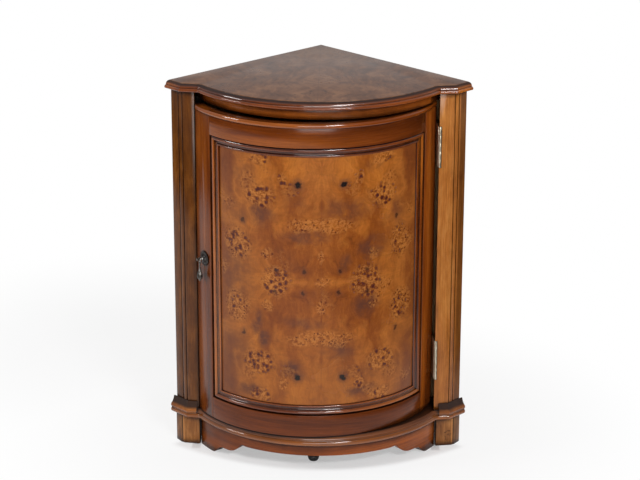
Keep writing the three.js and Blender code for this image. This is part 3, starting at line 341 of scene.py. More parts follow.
class Bench:
    """One piece on the bench, shaped with Blender's own modelling operators."""

    def __init__(
        self, name: str, points: Sequence[Vector], closed: bool = True, loop: bool = False
    ) -> None:
        """Starts a piece from an outline.

        Args:
            name: The piece's name.
            points: Corners of the outline, in order.
            closed: True for a filled outline, False for a line to be turned.
            loop: True where an unfilled line joins up with its start.
        """
        bpy.ops.object.select_all(action="DESELECT")
        fill = "NGON" if closed else "NOTHING"
        bpy.ops.mesh.primitive_circle_add(vertices=len(points), radius=0.001, fill_type=fill)
        self.piece = bpy.context.active_object
        self.name_as(name)
        for vertex, place in zip(self.piece.data.vertices, points):
            vertex.co = place
        self.piece.data.update()
        if not closed and not loop:
            self._open_line(len(points))

    def name_as(self, name: str) -> None:
        """Names the piece after the CAD node that it stands for."""
        self.name = name
        self.piece.name = f"{name}_dressed"
        self.piece.data.name = self.piece.name

    def _open_line(self, count: int) -> None:
        """Removes the edge that joins the last corner to the first.

        Args:
            count: Number of corners.
        """
        with self.editing("EDGE", "DESELECT"):
            pass
        for edge in self.piece.data.edges:
            edge.select = set(edge.vertices) == {0, count - 1}
        with self.editing("EDGE", None):
            bpy.ops.mesh.delete(type="EDGE")

    @classmethod
    def copy_of(cls, node: str) -> "Bench":
        """A copy of a CAD node's mesh with its corners merged.

        Args:
            node: The CAD node's name.

        Returns:
            The copy on the bench.
        """
        bench = cls.__new__(cls)
        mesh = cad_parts[node].data.copy()
        mesh.materials.clear()
        bench.piece = bpy.data.objects.new(node, mesh)
        bpy.context.scene.collection.objects.link(bench.piece)
        bench.name_as(node)
        with bench.editing("VERT"):
            bpy.ops.mesh.remove_doubles(threshold=0.00001)
            bpy.ops.mesh.dissolve_limited(angle_limit=math.radians(0.5))
        return bench

    def select(self) -> None:
        """Makes this piece the only selected and active one."""
        bpy.ops.object.select_all(action="DESELECT")
        self.piece.select_set(True)
        bpy.context.view_layer.objects.active = self.piece

    @contextmanager
    def editing(self, mode: str = "FACE", pick: Optional[str] = "SELECT") -> Iterator[None]:
        """Edit mode for this piece alone.

        Args:
            mode: VERT, EDGE or FACE.
            pick: SELECT, DESELECT, or None to leave the choice.

        Returns:
            Nothing; edit mode lasts as long as the block.
        """
        self.select()
        bpy.ops.object.mode_set(mode="EDIT")
        bpy.ops.mesh.select_mode(type=mode)
        if pick is not None:
            bpy.ops.mesh.select_all(action=pick)
        yield
        bpy.ops.object.mode_set(mode="OBJECT")

    def extrude(self, move: Vector) -> "Bench":
        """Pulls the whole outline along a vector."""
        with self.editing():
            bpy.ops.mesh.extrude_region_move(TRANSFORM_OT_translate={"value": move})
        return self.outwards()

    def spin(self, *turns: tuple[Vector, float, int]) -> "Bench":
        """Turns the outline about upright lines, one after another.

        Args:
            turns: A point on each line, how many degrees from left to right, and the steps.

        Returns:
            This bench.
        """
        with self.editing():
            for centre, degrees, steps in turns:
                angle = -math.radians(degrees)
                bpy.ops.mesh.spin(steps=steps, angle=angle, center=centre, axis=(0, 0, 1))
        return self.outwards()

    def revolve(self, centre: Vector, axis: Vector, steps: int) -> "Bench":
        """Turns an open line right round an axis, as on a lathe.

        Args:
            centre: A point on the axis.
            axis: The way that it runs.
            steps: Steps round it.

        Returns:
            This bench.
        """
        with self.editing("VERT"):
            bpy.ops.mesh.spin(steps=steps, angle=math.tau, center=centre, axis=axis)
            bpy.ops.mesh.select_all(action="SELECT")
            bpy.ops.mesh.remove_doubles(threshold=0.00001)
            bpy.ops.mesh.dissolve_degenerate(threshold=0.000005)
        return self.outwards()

    def cut(self, point: Vector, normal: Vector) -> "Bench":
        """Saws off what lies on the normal's side of a plane and closes the end.

        Args:
            point: A point of the plane.
            normal: Points to what is sawn off.

        Returns:
            This bench.
        """
        with self.editing():
            bpy.ops.mesh.bisect(plane_co=point, plane_no=normal, use_fill=True, clear_outer=True)
        return self.outwards()

    def outwards(self) -> "Bench":
        """Turns every face outwards."""
        with self.editing():
            bpy.ops.mesh.normals_make_consistent(inside=False)
        return self

    def modify(self, kind: str, **settings: Any) -> "Bench":
        """Adds a modifier and applies it.

        Args:
            kind: The modifier's type.
            settings: Its settings.

        Returns:
            This bench.
        """
        self.select()
        bpy.ops.object.modifier_add(type=kind)
        modifier = self.piece.modifiers[-1]
        for key, value in settings.items():
            setattr(modifier, key, value)
        bpy.ops.object.modifier_apply(modifier=modifier.name)
        return self

    def ease(self, width: float, segments: int = 2, above: float = CARVED_EDGE) -> "Bench":
        """Rounds every edge that is sharper than an angle."""
        settings = {"width": width, "segments": segments, "use_clamp_overlap": True}
        return self.modify("BEVEL", limit_method="ANGLE", angle_limit=math.radians(above), **settings)

    def hollow(self, *tools: "Bench") -> "Bench":
        """Cuts other pieces out of this one and clears them away.

        Args:
            tools: The pieces that are cut out.

        Returns:
            This bench.
        """
        for tool in tools:
            self.modify("BOOLEAN", operation="DIFFERENCE", solver="EXACT", object=tool.piece)
            bpy.data.objects.remove(tool.piece, do_unlink=True)
        return self

    def unite(self, *others: "Bench") -> "Bench":
        """Makes one mesh of this piece and others, which are cleared away.

        Args:
            others: The other pieces.

        Returns:
            This bench.
        """
        self.select()
        for other in others:
            other.piece.select_set(True)
        bpy.ops.object.join()
        return self

    def smooth(self, crease: Crease) -> "Bench":
        """Shades the piece smooth and leaves its sharper edges crisp."""
        self.select()
        bpy.ops.object.shade_smooth_by_angle(angle=math.radians(crease.value))
        return self

    def move_points(self, change: Callable[[Vector], Vector]) -> "Bench":
        """Moves each corner of the mesh by a rule.

        Args:
            change: Gives a corner's new place.

        Returns:
            This bench.
        """
        for vertex in self.piece.data.vertices:
            vertex.co = change(vertex.co.copy())
        self.piece.data.update()
        return self

    def grain(self, lay: "Lay") -> "Bench":
        """Writes where each corner lies along, across and into the wood.

        Args:
            lay: How the grain lies.

        Returns:
            This bench.
        """
        layer = self.piece.data.attributes.new(GRAIN, "FLOAT_VECTOR", "POINT")
        for vertex, item in zip(self.piece.data.vertices, layer.data):
            item.vector = lay(vertex.co)
        return self

    def turned(self, matrix: Matrix) -> "Bench":
        """Moves the mesh by a matrix and leaves the object where it is."""
        self.piece.data.transform(matrix)
        self.piece.data.update()
        return self

    def done(self, dress: "Dress", body: "Body") -> bpy.types.Object:
        """Dresses the piece and lets it stand for its CAD node.

        Args:
            dress: The finish and the record's slot.
            body: The body that it rides on.

        Returns:
            The finished object.
        """
        self.piece.data.materials.clear()
        self.piece.data.materials.append(dress.material)
        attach(self.piece, body.value)
        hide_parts(self.name)
        log.info("%s: %d faces", self.piece.name, len(self.piece.data.polygons))
        return self.piece

    def hang(self, dress: "Dress") -> bpy.types.Object:
        """Turns a finished piece of the shut door ajar and lets it ride on the door."""
        return self.turned(PLAN.door_turn).done(dress, Body.DOOR)


@dataclass(frozen=True)
class Lay:
    """How the grain lies; the shift keeps pieces from matching, and a radius unrolls the bow."""

    shift: float
    upright: bool = False
    radius: Optional[float] = None

    def __call__(self, place: Vector) -> Vector:
        """Tells where a point lies along, across and into the wood.

        Args:
            place: The point.

        Returns:
            Its place in the wood.
        """
        across, depth = place.x, place.y
        if self.radius is not None:
            spoke = place - PLAN.bow
            across = math.atan2(spoke.x, -spoke.y) * self.radius
            depth = math.hypot(spoke.x, spoke.y)
        along, over = (place.z, across) if self.upright else (across, place.z)
        return Vector((along + self.shift, over + self.shift, depth))


# Shader helpers


def _maths(operation: str, swapped: bool = False) -> Callable[["Value", Number], "Value"]:
    """A method of Value that adds one Math node.

    Args:
        operation: The node's operation.
        swapped: True for the other way round.

    Returns:
        The method.
    """

    def method(self: "Value", other: Number) -> "Value":
        """Works on this value and another."""
        return self.maths(operation, *((other, self) if swapped else (self, other)))

    return method


class Value:
    """A number in a material's nodes, which Python's operators work on."""

    def __init__(self, recipe: "Recipe", socket: Socket) -> None:
        """Wraps a socket."""
        self.recipe = recipe
        self.socket = socket

    def maths(self, operation: str, *numbers: Number) -> "Value":
        """Adds one Math node.

        Args:
            operation: Its operation.
            numbers: What it works on.

        Returns:
            Its outcome.
        """
        inputs = dict(enumerate(numbers))
        node = self.recipe.add("ShaderNodeMath", {"operation": operation}, inputs)
        return Value(self.recipe, node.outputs[0])

    __add__ = __radd__ = _maths("ADD")
    __mul__ = __rmul__ = _maths("MULTIPLY")
    __sub__ = _maths("SUBTRACT")
    __rsub__ = _maths("SUBTRACT", swapped=True)
    __truediv__ = _maths("DIVIDE")
    most = _maths("MAXIMUM")
    least = _maths("MINIMUM")

    def __abs__(self) -> "Value":
        """Size without its sign."""
        return self.maths("ABSOLUTE", self)

    def root(self) -> "Value":
        """Square root."""
        return self.maths("SQRT", self)

    def band(self, low: float, high: float) -> "Value":
        """Rises smoothly from 0 at low to 1 at high, or falls where low is the larger.

        Args:
            low: Where it is 0.
            high: Where it is 1.

        Returns:
            The value from 0 to 1.
        """
        rising = low < high
        settings = {"interpolation_type": "SMOOTHSTEP"}
        ends = {"From Min": min(low, high), "From Max": max(low, high)}
        span = {"To Min": 0.0 if rising else 1.0, "To Max": 1.0 if rising else 0.0}
        node = self.recipe.add("ShaderNodeMapRange", settings, {"Value": self, **ends, **span})
        return Value(self.recipe, node.outputs[0])


class Recipe:
    """The nodes of one material."""

    def __init__(self, name: str) -> None:
        """Starts an empty material.

        Args:
            name: The material's name.
        """
        self.material = bpy.data.materials.new(name)
        self.material.use_nodes = True
        self.tree = self.material.node_tree
        self.tree.nodes.clear()

    def add(
        self,
        kind: str,
        settings: Optional[dict[str, Any]] = None,
        inputs: Optional[dict[Union[int, str], Any]] = None,
    ) -> bpy.types.Node:
        """Adds a node.

        Args:
            kind: The node's type.
            settings: Its settings; "stops" gives a ramp's stops.
            inputs: Values or links of its sockets, by name or number.

        Returns:
            The node.
        """
        node = self.tree.nodes.new(kind)
        for key, value in (settings or {}).items():
            if key == "stops":
                self._stops(node, value)
            else:
                setattr(node, key, value)
        for key, value in (inputs or {}).items():
            self._feed(node.inputs[key], value)
        return node

    def _stops(self, node: bpy.types.Node, stops: Sequence[tuple[float, Colour]]) -> None:
        """Sets a ramp's stops.

        Args:
            node: The ramp.
            stops: Places and colours.
        """
        elements = node.color_ramp.elements
        while len(elements) < len(stops):
            elements.new(0.5)
        for element, (place, colour) in zip(elements, stops):
            element.position = place
            element.color = (*colour, 1.0)

    def _feed(self, socket: Socket, value: Any) -> None:
        """Links a socket or sets its value.

        Args:
            socket: The socket.
            value: A value, or what to link.
        """
        if isinstance(value, Value):
            self.tree.links.new(value.socket, socket)
        elif isinstance(value, Socket):
            self.tree.links.new(value, socket)
        elif socket.type == "RGBA" and len(value) == 3:
            socket.default_value = (*value, 1.0)
        else:
            socket.default_value = value

    def grain(self) -> Socket:
        """The piece's own place along, across and into the wood."""
        settings = {"attribute_type": "GEOMETRY", "attribute_name": GRAIN}
        return self.add("ShaderNodeAttribute", settings).outputs["Vector"]

    def place(self) -> Socket:
        """Object coordinates."""
        return self.add("ShaderNodeTexCoord").outputs["Object"]

    def axes(self, vector: Socket) -> tuple[Value, Value, Value]:
        """A vector's three numbers."""
        node = self.add("ShaderNodeSeparateXYZ", None, {0: vector})
        return tuple(Value(self, output) for output in node.outputs)

    def vector(self, x: Number, y: Number, z: Number) -> Socket:
        """A vector from three numbers."""
        return self.add("ShaderNodeCombineXYZ", None, {0: x, 1: y, 2: z}).outputs[0]

    def stretch(self, vector: Socket, scale: Triple) -> Socket:
        """A vector with each axis scaled."""
        inputs = {"Vector": vector, "Scale": scale}
        return self.add("ShaderNodeMapping", {"vector_type": "POINT"}, inputs).outputs[0]

    def _vectors(self, operation: str, inputs: dict[Union[int, str], Any]) -> Socket:
        """Adds one Vector Math node."""
        return self.add("ShaderNodeVectorMath", {"operation": operation}, inputs).outputs[0]

    def shifted(self, vector: Socket, *pushes: tuple[Socket, float]) -> Socket:
        """A vector pushed along others.

        Args:
            vector: The vector.
            pushes: Each other vector, which is centred on a half, and how far it pushes.

        Returns:
            The moved vector.
        """
        for by, amount in pushes:
            centred = self._vectors("SUBTRACT", {0: by, 1: (0.5, 0.5, 0.5)})
            pushed = self._vectors("SCALE", {0: centred, "Scale": amount})
            vector = self._vectors("ADD", {0: vector, 1: pushed})
        return vector

    def noise(self, vector: Socket, scale: float, detail: float = 3.0, rough: float = 0.5) -> Value:
        """Smooth random value from 0 to 1."""
        inputs = {"Vector": vector, "Scale": scale, "Detail": detail, "Roughness": rough}
        return Value(self, self.add("ShaderNodeTexNoise", None, inputs).outputs[0])

    def drawn(self, vector: Socket, scale: Triple, detail: float, rough: float = 0.5) -> Value:
        """Smooth random value that is drawn out or pressed together along each axis."""
        return self.noise(self.stretch(vector, scale), 1.0, detail, rough)

    def noise_colour(self, vector: Socket, scale: float, detail: float = 2.0) -> Socket:
        """Three smooth random values, to push a vector with."""
        inputs = {"Vector": vector, "Scale": scale, "Detail": detail}
        return self.add("ShaderNodeTexNoise", None, inputs).outputs["Color"]

    def cells(self, vector: Socket, scale: float) -> tuple[Value, Value]:
        """Distance to the nearest of many scattered points, and that point's own chance."""
        node = self.add("ShaderNodeTexVoronoi", {"feature": "F1"}, {"Vector": vector, "Scale": scale})
        return Value(self, node.outputs["Distance"]), self.axes(node.outputs["Color"])[0]

    def hollow(self, reach: float) -> Value:
        """One in the corners and hollows between pieces, 0 in the open."""
        node = self.add("ShaderNodeAmbientOcclusion", {"samples": 6}, {"Distance": reach})
        return 1.0 - Value(self, node.outputs["AO"])

    def tinted(self, colour: Socket, shade: Number) -> Socket:
        """A colour made darker or lighter by a number."""
        return self.blend(1.0, colour, self.vector(shade, shade, shade), "MULTIPLY")

    def ramp(self, factor: Number, stops: Sequence[tuple[float, Colour]]) -> Socket:
        """A colour picked by a number."""
        return self.add("ShaderNodeValToRGB", {"stops": stops}, {0: factor}).outputs[0]

    def blend(self, factor: Number, first: Any, second: Any, mode: str = "MIX") -> Socket:
        """Mixes two colours."""
        settings = {"data_type": "RGBA", "blend_type": mode, "clamp_factor": True}
        return self.add("ShaderNodeMix", settings, {0: factor, 6: first, 7: second}).outputs[2]

    def rays(self) -> tuple[Value, Value]:
        """One for what the camera sees, and one for what is mirrored or seen through something."""
        path = self.add("ShaderNodeLightPath").outputs
        mirrored = Value(self, path["Is Glossy Ray"]).most(Value(self, path["Is Transmission Ray"]))
        return Value(self, path["Is Camera Ray"]), mirrored

    def bump(self, height: Value, distance: float, strength: float = 1.0) -> Socket:
        """A normal bent by a height."""
        inputs = {"Strength": strength, "Distance": distance, "Height": height}
        return self.add("ShaderNodeBump", None, inputs).outputs[0]

    def finish(self, **inputs: Any) -> bpy.types.Material:
        """Ends the recipe in a Principled shader.

        Args:
            inputs: Its sockets, with underscores for the spaces in their names.

        Returns:
            The material.
        """
        named = {key.replace("_", " "): value for key, value in inputs.items()}
        named.setdefault("Specular IOR Level", 0.5)
        shader = self.add("ShaderNodeBsdfPrincipled", None, named)
        output = self.add("ShaderNodeOutputMaterial")
        self.tree.links.new(shader.outputs[0], output.inputs[0])
        return self.material


class Surroundings(Recipe):
    """The nodes of the world."""

    def __init__(self, name: str) -> None:
        """Starts an empty world and puts it in the scene.

        Args:
            name: The world's name.
        """
        self.world = bpy.data.worlds.new(name)
        self.world.use_nodes = True
        self.tree = self.world.node_tree
        self.tree.nodes.clear()
        bpy.context.scene.world = self.world

    def light(self, strength: Value) -> None:
        """Ends the recipe in white light of a strength.

        Args:
            strength: The light's strength.
        """
        inputs = {"Color": (1.0, 1.0, 1.0), "Strength": strength}
        background = self.add("ShaderNodeBackground", None, inputs)
        output = self.add("ShaderNodeOutputWorld")
        self.tree.links.new(background.outputs[0], output.inputs[0])


# Finishes


class Body(Enum):
    """The bodies that pieces ride on."""

    CARCASE = "carcase"
    DOOR = "door"
    PULL = "pull"


class Slot(Enum):
    """The record's slots for materials."""

    WALNUT = "walnut"
    PILASTER = "walnut_light"
    INSIDE = "inside_wood"
    TOP = "top_veneer"
    BURR = "burr_veneer"
    HINGE = "hinge_brass"
    PULL = "antique_brass"
    STEEL = "steel"
    BLACK = "black_plastic"


@dataclass(frozen=True)
class Dress:
    """A finished material and the record's slot that it belongs to."""

    material: bpy.types.Material
    slot: Slot


class Finish:
    """A finish that can be made into a material."""

    def build(self) -> bpy.types.Material:
        """Makes the material."""
        raise NotImplementedError

    def dress(self, slot: Slot) -> Dress:
        """Makes the material for one of the record's slots."""
        return Dress(self.build(), slot)


def scaled(colour: Colour, share: float) -> Colour:
    """A colour made darker or brighter."""
    return tuple(part * share for part in colour)


@dataclass(frozen=True)
class PolishedWood(Finish):
    """Wood under a clear polish, with streaks, fibres, pores, and dark glaze and painted shade in its
    corners.

    A mark is left out where its place is 0. Places are heights above the floor (darkened_from,
    dull_from), distances from the middle (shaded_within, seam_at) or both (knot_at).
    """

    name: str
    dark: Colour
    mid: Colour
    light: Colour
    streaks: float = 26.0
    streak_length: float = 1.6
    fibre_depth: float = 0.4
    gloss: float = 0.11
    shine: float = 0.27
    # Strength and reach of the darkening in hollows: dark glaze and painted shade.
    glaze_and_shade: float = 0.85
    glaze_and_shade_reach: float = 0.014
    # Darker above this height: painted shade on the plinth's slope; on the top moulding it darkens the
    # upper ovolo.
    darkened_from: float = 0.0
    # Painted shade on a foot's inner face, inside this distance from the middle.
    shaded_within: float = 0.0
    # A dark seam at this distance, with a painted highlight on the rounded edge beside it.
    seam_at: float = 0.0
    dull_from: float = 0.0
    knot_at: Optional[Point] = None
    knot_size: Point = (0.006, 0.0105)
    mottle: float = 0.0
    # Share of brightness left on the outer chamfer: painted shade.
    facet_shade: float = 1.0

    def _within(self, side: Value) -> Value:
        """One on a foot's inner face and 0 on the rest of it."""
        return side.band(self.shaded_within + 0.0004, self.shaded_within)

    def _glazed_and_shaded(self, recipe: Recipe, x: Value, z: Value) -> Value:
        """How dark a place is painted with glaze and painted shade; none beside the gap at the door's
        hinges.

        Args:
            recipe: The material's nodes.
            x: Place from left to right.
            z: Height.

        Returns:
            The darkening from 0 to 1.
        """
        # Glaze and painted shade: darker in hollows and between pieces, found by ambient occlusion.
        patchy = recipe.noise(recipe.place(), 40.0, 3.0) * 0.25
        glaze_and_shade = (recipe.hollow(self.glaze_and_shade_reach) + patchy).band(0.13, 0.46) * self.glaze_and_shade
        by_the_gap = x.band(0.228, 0.234) * x.band(0.2478, 0.247)
        on_the_door = z.band(0.088, 0.094) * z.band(0.753, 0.75)
        glaze_and_shade = glaze_and_shade * (1.0 - by_the_gap * on_the_door)
        # Darker above a height: painted shade on the plinth's slope, and a darker upper ovolo on the
        # top moulding.
        if self.darkened_from > 0.0:
            glaze_and_shade = glaze_and_shade.most(z.band(self.darkened_from - 0.002, self.darkened_from + 0.004) * 0.93)
        # Painted shade on a foot's inner face.
        if self.shaded_within > 0.0:
            glaze_and_shade = glaze_and_shade.most(self._within(abs(x)))
        if self.seam_at > 0.0:
            glaze_and_shade = glaze_and_shade.most(abs(abs(x) - self.seam_at).band(0.0013, 0.0006) * 0.9)
        return glaze_and_shade

    def _knotted(self, recipe: Recipe) -> Value:
        """Two broken dark rings of the small knot.

        Args:
            recipe: The material's nodes.

        Returns:
            One on the rings and 0 beside them.
        """
        bend = recipe.noise_colour(recipe.place(), 120.0, 3.0)
        x, _, z = recipe.axes(recipe.shifted(recipe.place(), (bend, 0.014)))
        across = (x - self.knot_at[0]) / self.knot_size[0]
        up = (z - self.knot_at[1]) / self.knot_size[1]
        far = (across * across + up * up).root()
        outer = far.band(0.78, 0.9) * far.band(1.2, 1.05)
        inner = far.band(0.2, 0.3) * far.band(0.55, 0.42)
        return outer.most(inner) * recipe.noise(recipe.place(), 150.0, 2.0).band(0.42, 0.54)

    def _tone(self, recipe: Recipe, grain: Socket, bent: Socket) -> Value:
        """How light the wood is, before its fibres and marks.

        Args:
            recipe: The material's nodes.
            grain: Place in the wood.
            bent: The same, bent.

        Returns:
            The tone from 0 to 1.
        """
        streak = recipe.drawn(bent, (self.streak_length, self.streaks, self.streaks), 4.0, 0.55)
        tone = streak * 0.6 + recipe.drawn(grain, (3.4, 9.0, 9.0), 2.0) * 0.4
        if self.mottle > 0.0:
            turn = recipe.noise_colour(recipe.stretch(grain, (8.0, 22.0, 22.0)), 1.0)
            curl = recipe.drawn(recipe.shifted(grain, (turn, 0.05)), (16.0, 60.0, 60.0), 5.0, 0.6)
            tone = tone * (1.0 - self.mottle) + curl * self.mottle
        return tone

    def _marked(self, recipe: Recipe, colour: Socket, side: Value) -> Socket:
        """The colour with painted shade on a chamfer, a knot, and a painted highlight beside the seam.

        Args:
            recipe: The material's nodes.
            colour: The wood's colour.
            side: Distance from the middle.

        Returns:
            The marked colour.
        """
        # Painted shade on the pilaster's outer chamfer.
        if self.facet_shade < 1.0:
            facet = side.band(0.2875, 0.2895)
            colour = recipe.tinted(colour, 1.0 - facet * (1.0 - self.facet_shade))
        if self.knot_at is not None:
            colour = recipe.blend(self._knotted(recipe) * 0.6, colour, scaled(self.dark, 0.2))
        # Painted highlight on the rounded edge beside the seam.
        if self.seam_at > 0.0:
            edge_highlight = abs(side - self.seam_at + 0.0028).band(0.0016, 0.001)
            colour = recipe.blend(edge_highlight * 0.6, colour, scaled(self.light, 1.5))
        return colour

    def build(self) -> bpy.types.Material:
        """Makes the material.

        Returns:
            The material.
        """
        recipe = Recipe(self.name)
        grain = recipe.grain()
        x, _, z = recipe.axes(recipe.place())
        drift = recipe.noise_colour(recipe.stretch(grain, (1.2, 5.0, 5.0)), 1.0)
        bent = recipe.shifted(grain, (drift, 0.035))
        fibre = recipe.drawn(bent, (14.0, 420.0, 420.0), 3.0, 0.6)
        pore = recipe.drawn(grain, (60.0, 1500.0, 1500.0), 2.0).band(0.66, 0.74)
        glaze_and_shade = self._glazed_and_shaded(recipe, x, z)

        tone = self._tone(recipe, grain, bent)
        colour = recipe.ramp(tone, [(0.34, self.dark), (0.5, self.mid), (0.66, self.light)])
        shade = fibre.band(0.25, 0.75) * self.fibre_depth + (1.0 - self.fibre_depth * 0.55)
        colour = recipe.blend(pore * 0.5, recipe.tinted(colour, shade), self.dark)
        colour = self._marked(recipe, colour, abs(x))
        # Glaze and painted shade darken the colour.
        colour = recipe.blend(glaze_and_shade, colour, scaled(self.dark, 0.14))

        rough = self.gloss + recipe.noise(recipe.place(), 9.0, 4.0) * 0.12 + pore * 0.2 + glaze_and_shade * 0.06
        if self.shaded_within > 0.0:
            rough = rough + self._within(abs(x)) * 0.9
        if self.dull_from > 0.0:
            rough = rough + z.band(self.dull_from - 0.001, self.dull_from + 0.001) * 0.8
        return recipe.finish(
            Base_Color=colour,
            Roughness=rough,
            Normal=recipe.bump(fibre * 0.5 - pore * 0.6, 0.00012, 0.5),
            Specular_IOR_Level=self.shine,
        )


@dataclass(frozen=True)
class BurrPatch:
    """An oval place in the burr, in millimetres from the crossing of the matched joints."""

    across: float
    up: float
    half_width: float
    half_height: float
    strength: float = 1.0


def patches(*rows: tuple[float, ...]) -> tuple[BurrPatch, ...]:
    """Burr patches from rows of numbers."""
    return tuple(BurrPatch(*row) for row in rows)


@dataclass(frozen=True)
class BurrVeneer(Finish):
    """Matched leaves of burr: amber ground, brown clouds, clusters of eyes and a few knots."""

    name: str = "burr_veneer"
    ground: Colour = (0.195, 0.049, 0.005)
    pale: Colour = (0.345, 0.108, 0.013)
    deep: Colour = (0.115, 0.024, 0.003)
    ring: Colour = (0.42, 0.155, 0.03)
    cloud: Colour = (0.088, 0.028, 0.014)
    eye: Colour = (0.052, 0.007, 0.004)
    knot: Colour = (0.012, 0.006, 0.004)
    joint: float = -0.004
    middle: float = 0.4175
    edge_tint: Colour = (0.18, 0.056, 0.017)
    halo_tint: Colour = (0.095, 0.016, 0.004)
    eyes: tuple[BurrPatch, ...] = patches(
        (130, 252, 25, 14), (130, 178, 36, 26), (96, 1, 33, 34), (78, 218, 11, 16),
        (176, 70, 24, 30), (64, 196, 20, 14, 0.6),
    )
    specks: tuple[BurrPatch, ...] = patches(
        (182, 68, 34, 36), (16, 122, 58, 18), (0, 0, 14, 14), (152, 205, 20, 20, 0.7),
        (110, 54, 12, 12), (0, 55, 7, 16),
    )
    knots: tuple[BurrPatch, ...] = patches(
        (46, 207, 7, 7), (37, 24, 4, 5, 0.7), (167, 122, 4, 6, 0.7), (95, 23, 4, 4, 0.6)
    )
    clouds: tuple[BurrPatch, ...] = patches(
        (-160, 217, 23, 26, 0.35), (-126, 143, 27, 23, 0.7), (52, 153, 53, 21, 0.5),
        (-33, 97, 47, 13, 0.55), (104, 67, 28, 23, 0.85), (97, 0, 32, 33, 0.4),
        (95, -52, 26, 23, 0.8), (47, 40, 12, 17, 0.6), (-188, 0, 40, 64, 0.45),
        (-133, -92, 11, 27, 0.8), (-118, -127, 11, 19, 0.8), (-33, -87, 40, 11, 0.5),
        (37, -144, 31, 18, 0.65), (-65, -187, 25, 18, 0.8), (-149, -244, 29, 13, 0.7),
        (82, -235, 33, 14, 0.7), (168, 140, 18, 18, 0.45), (-53, 179, 23, 32, 0.3),
        (-191, -159, 39, 32, 0.4), (82, 158, 36, 16, 0.35), (114, -202, 32, 21, 0.3),
    )

    def _far(self, recipe: Recipe, sheet: Socket, spot: BurrPatch) -> Value:
        """How far a place is from a patch's middle, 1 at its edge.

        Args:
            recipe: The material's nodes.
            sheet: Place on the veneer.
            spot: The patch.

        Returns:
            The distance.
        """
        scale = (1000.0 / spot.half_width, 1000.0 / spot.half_height, 0.0)
        shift = (-spot.across / spot.half_width, -spot.up / spot.half_height, 0.0)
        inputs = {"Vector": sheet, "Location": shift, "Scale": scale}
        moved = recipe.add("ShaderNodeMapping", None, inputs)
        far = recipe.add("ShaderNodeVectorMath", {"operation": "LENGTH"}, {0: moved.outputs[0]})
        return Value(recipe, far.outputs["Value"])

    def _cover(
        self, recipe: Recipe, sheet: Socket, spots: Sequence[BurrPatch], edge: Point = (1.2, 0.7)
    ) -> Value:
        """The strongest of several patches at each place.

        Args:
            recipe: The material's nodes.
            sheet: Place on the veneer.
            spots: The patches.
            edge: The distances at which a patch starts and is full.

        Returns:
            The cover from 0 to 1.
        """
        covers = [self._far(recipe, sheet, spot).band(*edge) * spot.strength for spot in spots]
        total = covers[0]
        for cover in covers[1:]:
            total = total.most(cover)
        return total

    def build(self) -> bpy.types.Material:
        """Makes the material.

        Returns:
            The material.
        """
        recipe = Recipe(self.name)
        along, across, _ = recipe.axes(recipe.grain())
        side = across - self.joint
        rise = along - self.middle
        sheet = recipe.vector(side, rise, 0.0)
        leaf = recipe.vector(abs(side), abs(rise), 0.0)
        wander = recipe.noise_colour(sheet, 21.0, 3.0)
        curl = recipe.noise_colour(leaf, 13.0, 3.0)
        fray = recipe.noise_colour(sheet, 90.0, 2.0)
        loose = recipe.shifted(sheet, (wander, 0.022), (fray, 0.006))
        quarter = recipe.shifted(leaf, (wander, 0.03), (fray, 0.006))
        swirled = recipe.shifted(leaf, (curl, 0.05), (wander, 0.03))

        figure = recipe.drawn(swirled, (24.0, 9.0, 1.0), 6.0, 0.62)
        tongue = recipe.drawn(swirled, (7.0, 3.5, 1.0), 2.0)
        tone = figure * 0.45 + tongue.band(0.34, 0.66) * 0.24 + 0.17
        tone = tone + abs(rise).band(0.24, 0.06) * 0.06 - 0.038
        stops = [(0.35, self.deep), (0.44, self.ground), (0.56, self.pale), (0.66, self.ground)]
        colour = recipe.ramp(tone, stops)
        fibre = recipe.drawn(swirled, (260.0, 70.0, 1.0), 4.0, 0.6)
        crossing = recipe.drawn(swirled, (30.0, 170.0, 1.0), 3.0, 0.6)
        colour = recipe.tinted(colour, fibre * 0.8 + crossing * 0.6 + 0.32)

        edges = abs(side).band(0.1, 0.21) * 0.35 + rise.band(-0.02, -0.26) * 0.22
        colour = recipe.blend(edges, colour, self.edge_tint)
        haze = recipe.noise(loose, 13.0, 4.0, 0.6).band(0.52, 0.74) * 0.4
        veil = recipe.noise(loose, 34.0, 5.0, 0.65).band(0.25, 0.62)
        haze = haze.most(self._cover(recipe, loose, self.clouds, (1.7, 0.3)) * veil * 1.3)
        colour = recipe.blend(haze, colour, self.cloud)

        coarse = self._cover(recipe, quarter, self.eyes)
        fine = self._cover(recipe, quarter, self.specks)
        stray = recipe.noise(sheet, 11.0, 2.0).band(0.62, 0.7) * 0.8
        jitter = recipe.shifted(sheet, (recipe.noise_colour(sheet, 170.0, 3.0), 0.0065))
        far, chance = recipe.cells(jitter, 100.0)
        size = chance.band(0.15, 0.9) * 0.2 + 0.13
        pick = chance.band(0.12, 0.2) * coarse
        eye = (far - size).band(0.09, -0.05) * pick
        halo = (far - size).band(0.32, 0.06) * pick
        ring = (far - size).band(0.26, 0.36) * (far - size).band(0.5, 0.38) * pick
        near, luck = recipe.cells(jitter, 165.0)
        patch = fine.most(coarse * 0.6).most(stray)
        speck = near.band(0.34, 0.2) * patch * luck.band(0.35, 0.42)
        rim = near.band(0.7, 0.3) * patch
        curly = recipe.shifted(sheet, (fray, 0.02), (wander, 0.03))
        wisp = recipe.noise(curly, 170.0, 4.0, 0.7).band(0.44, 0.56) * patch.most(coarse)
        colour = recipe.blend(ring.most(wisp * 0.75) * 0.7, colour, self.ring)
        colour = recipe.blend(rim.most(coarse * 0.8) * (1.0 - wisp) * 0.6, colour, self.deep)
        colour = recipe.blend(halo * 0.7, colour, self.halo_tint)
        colour = recipe.blend(eye.most(speck * 0.9) * 0.95, colour, self.eye)

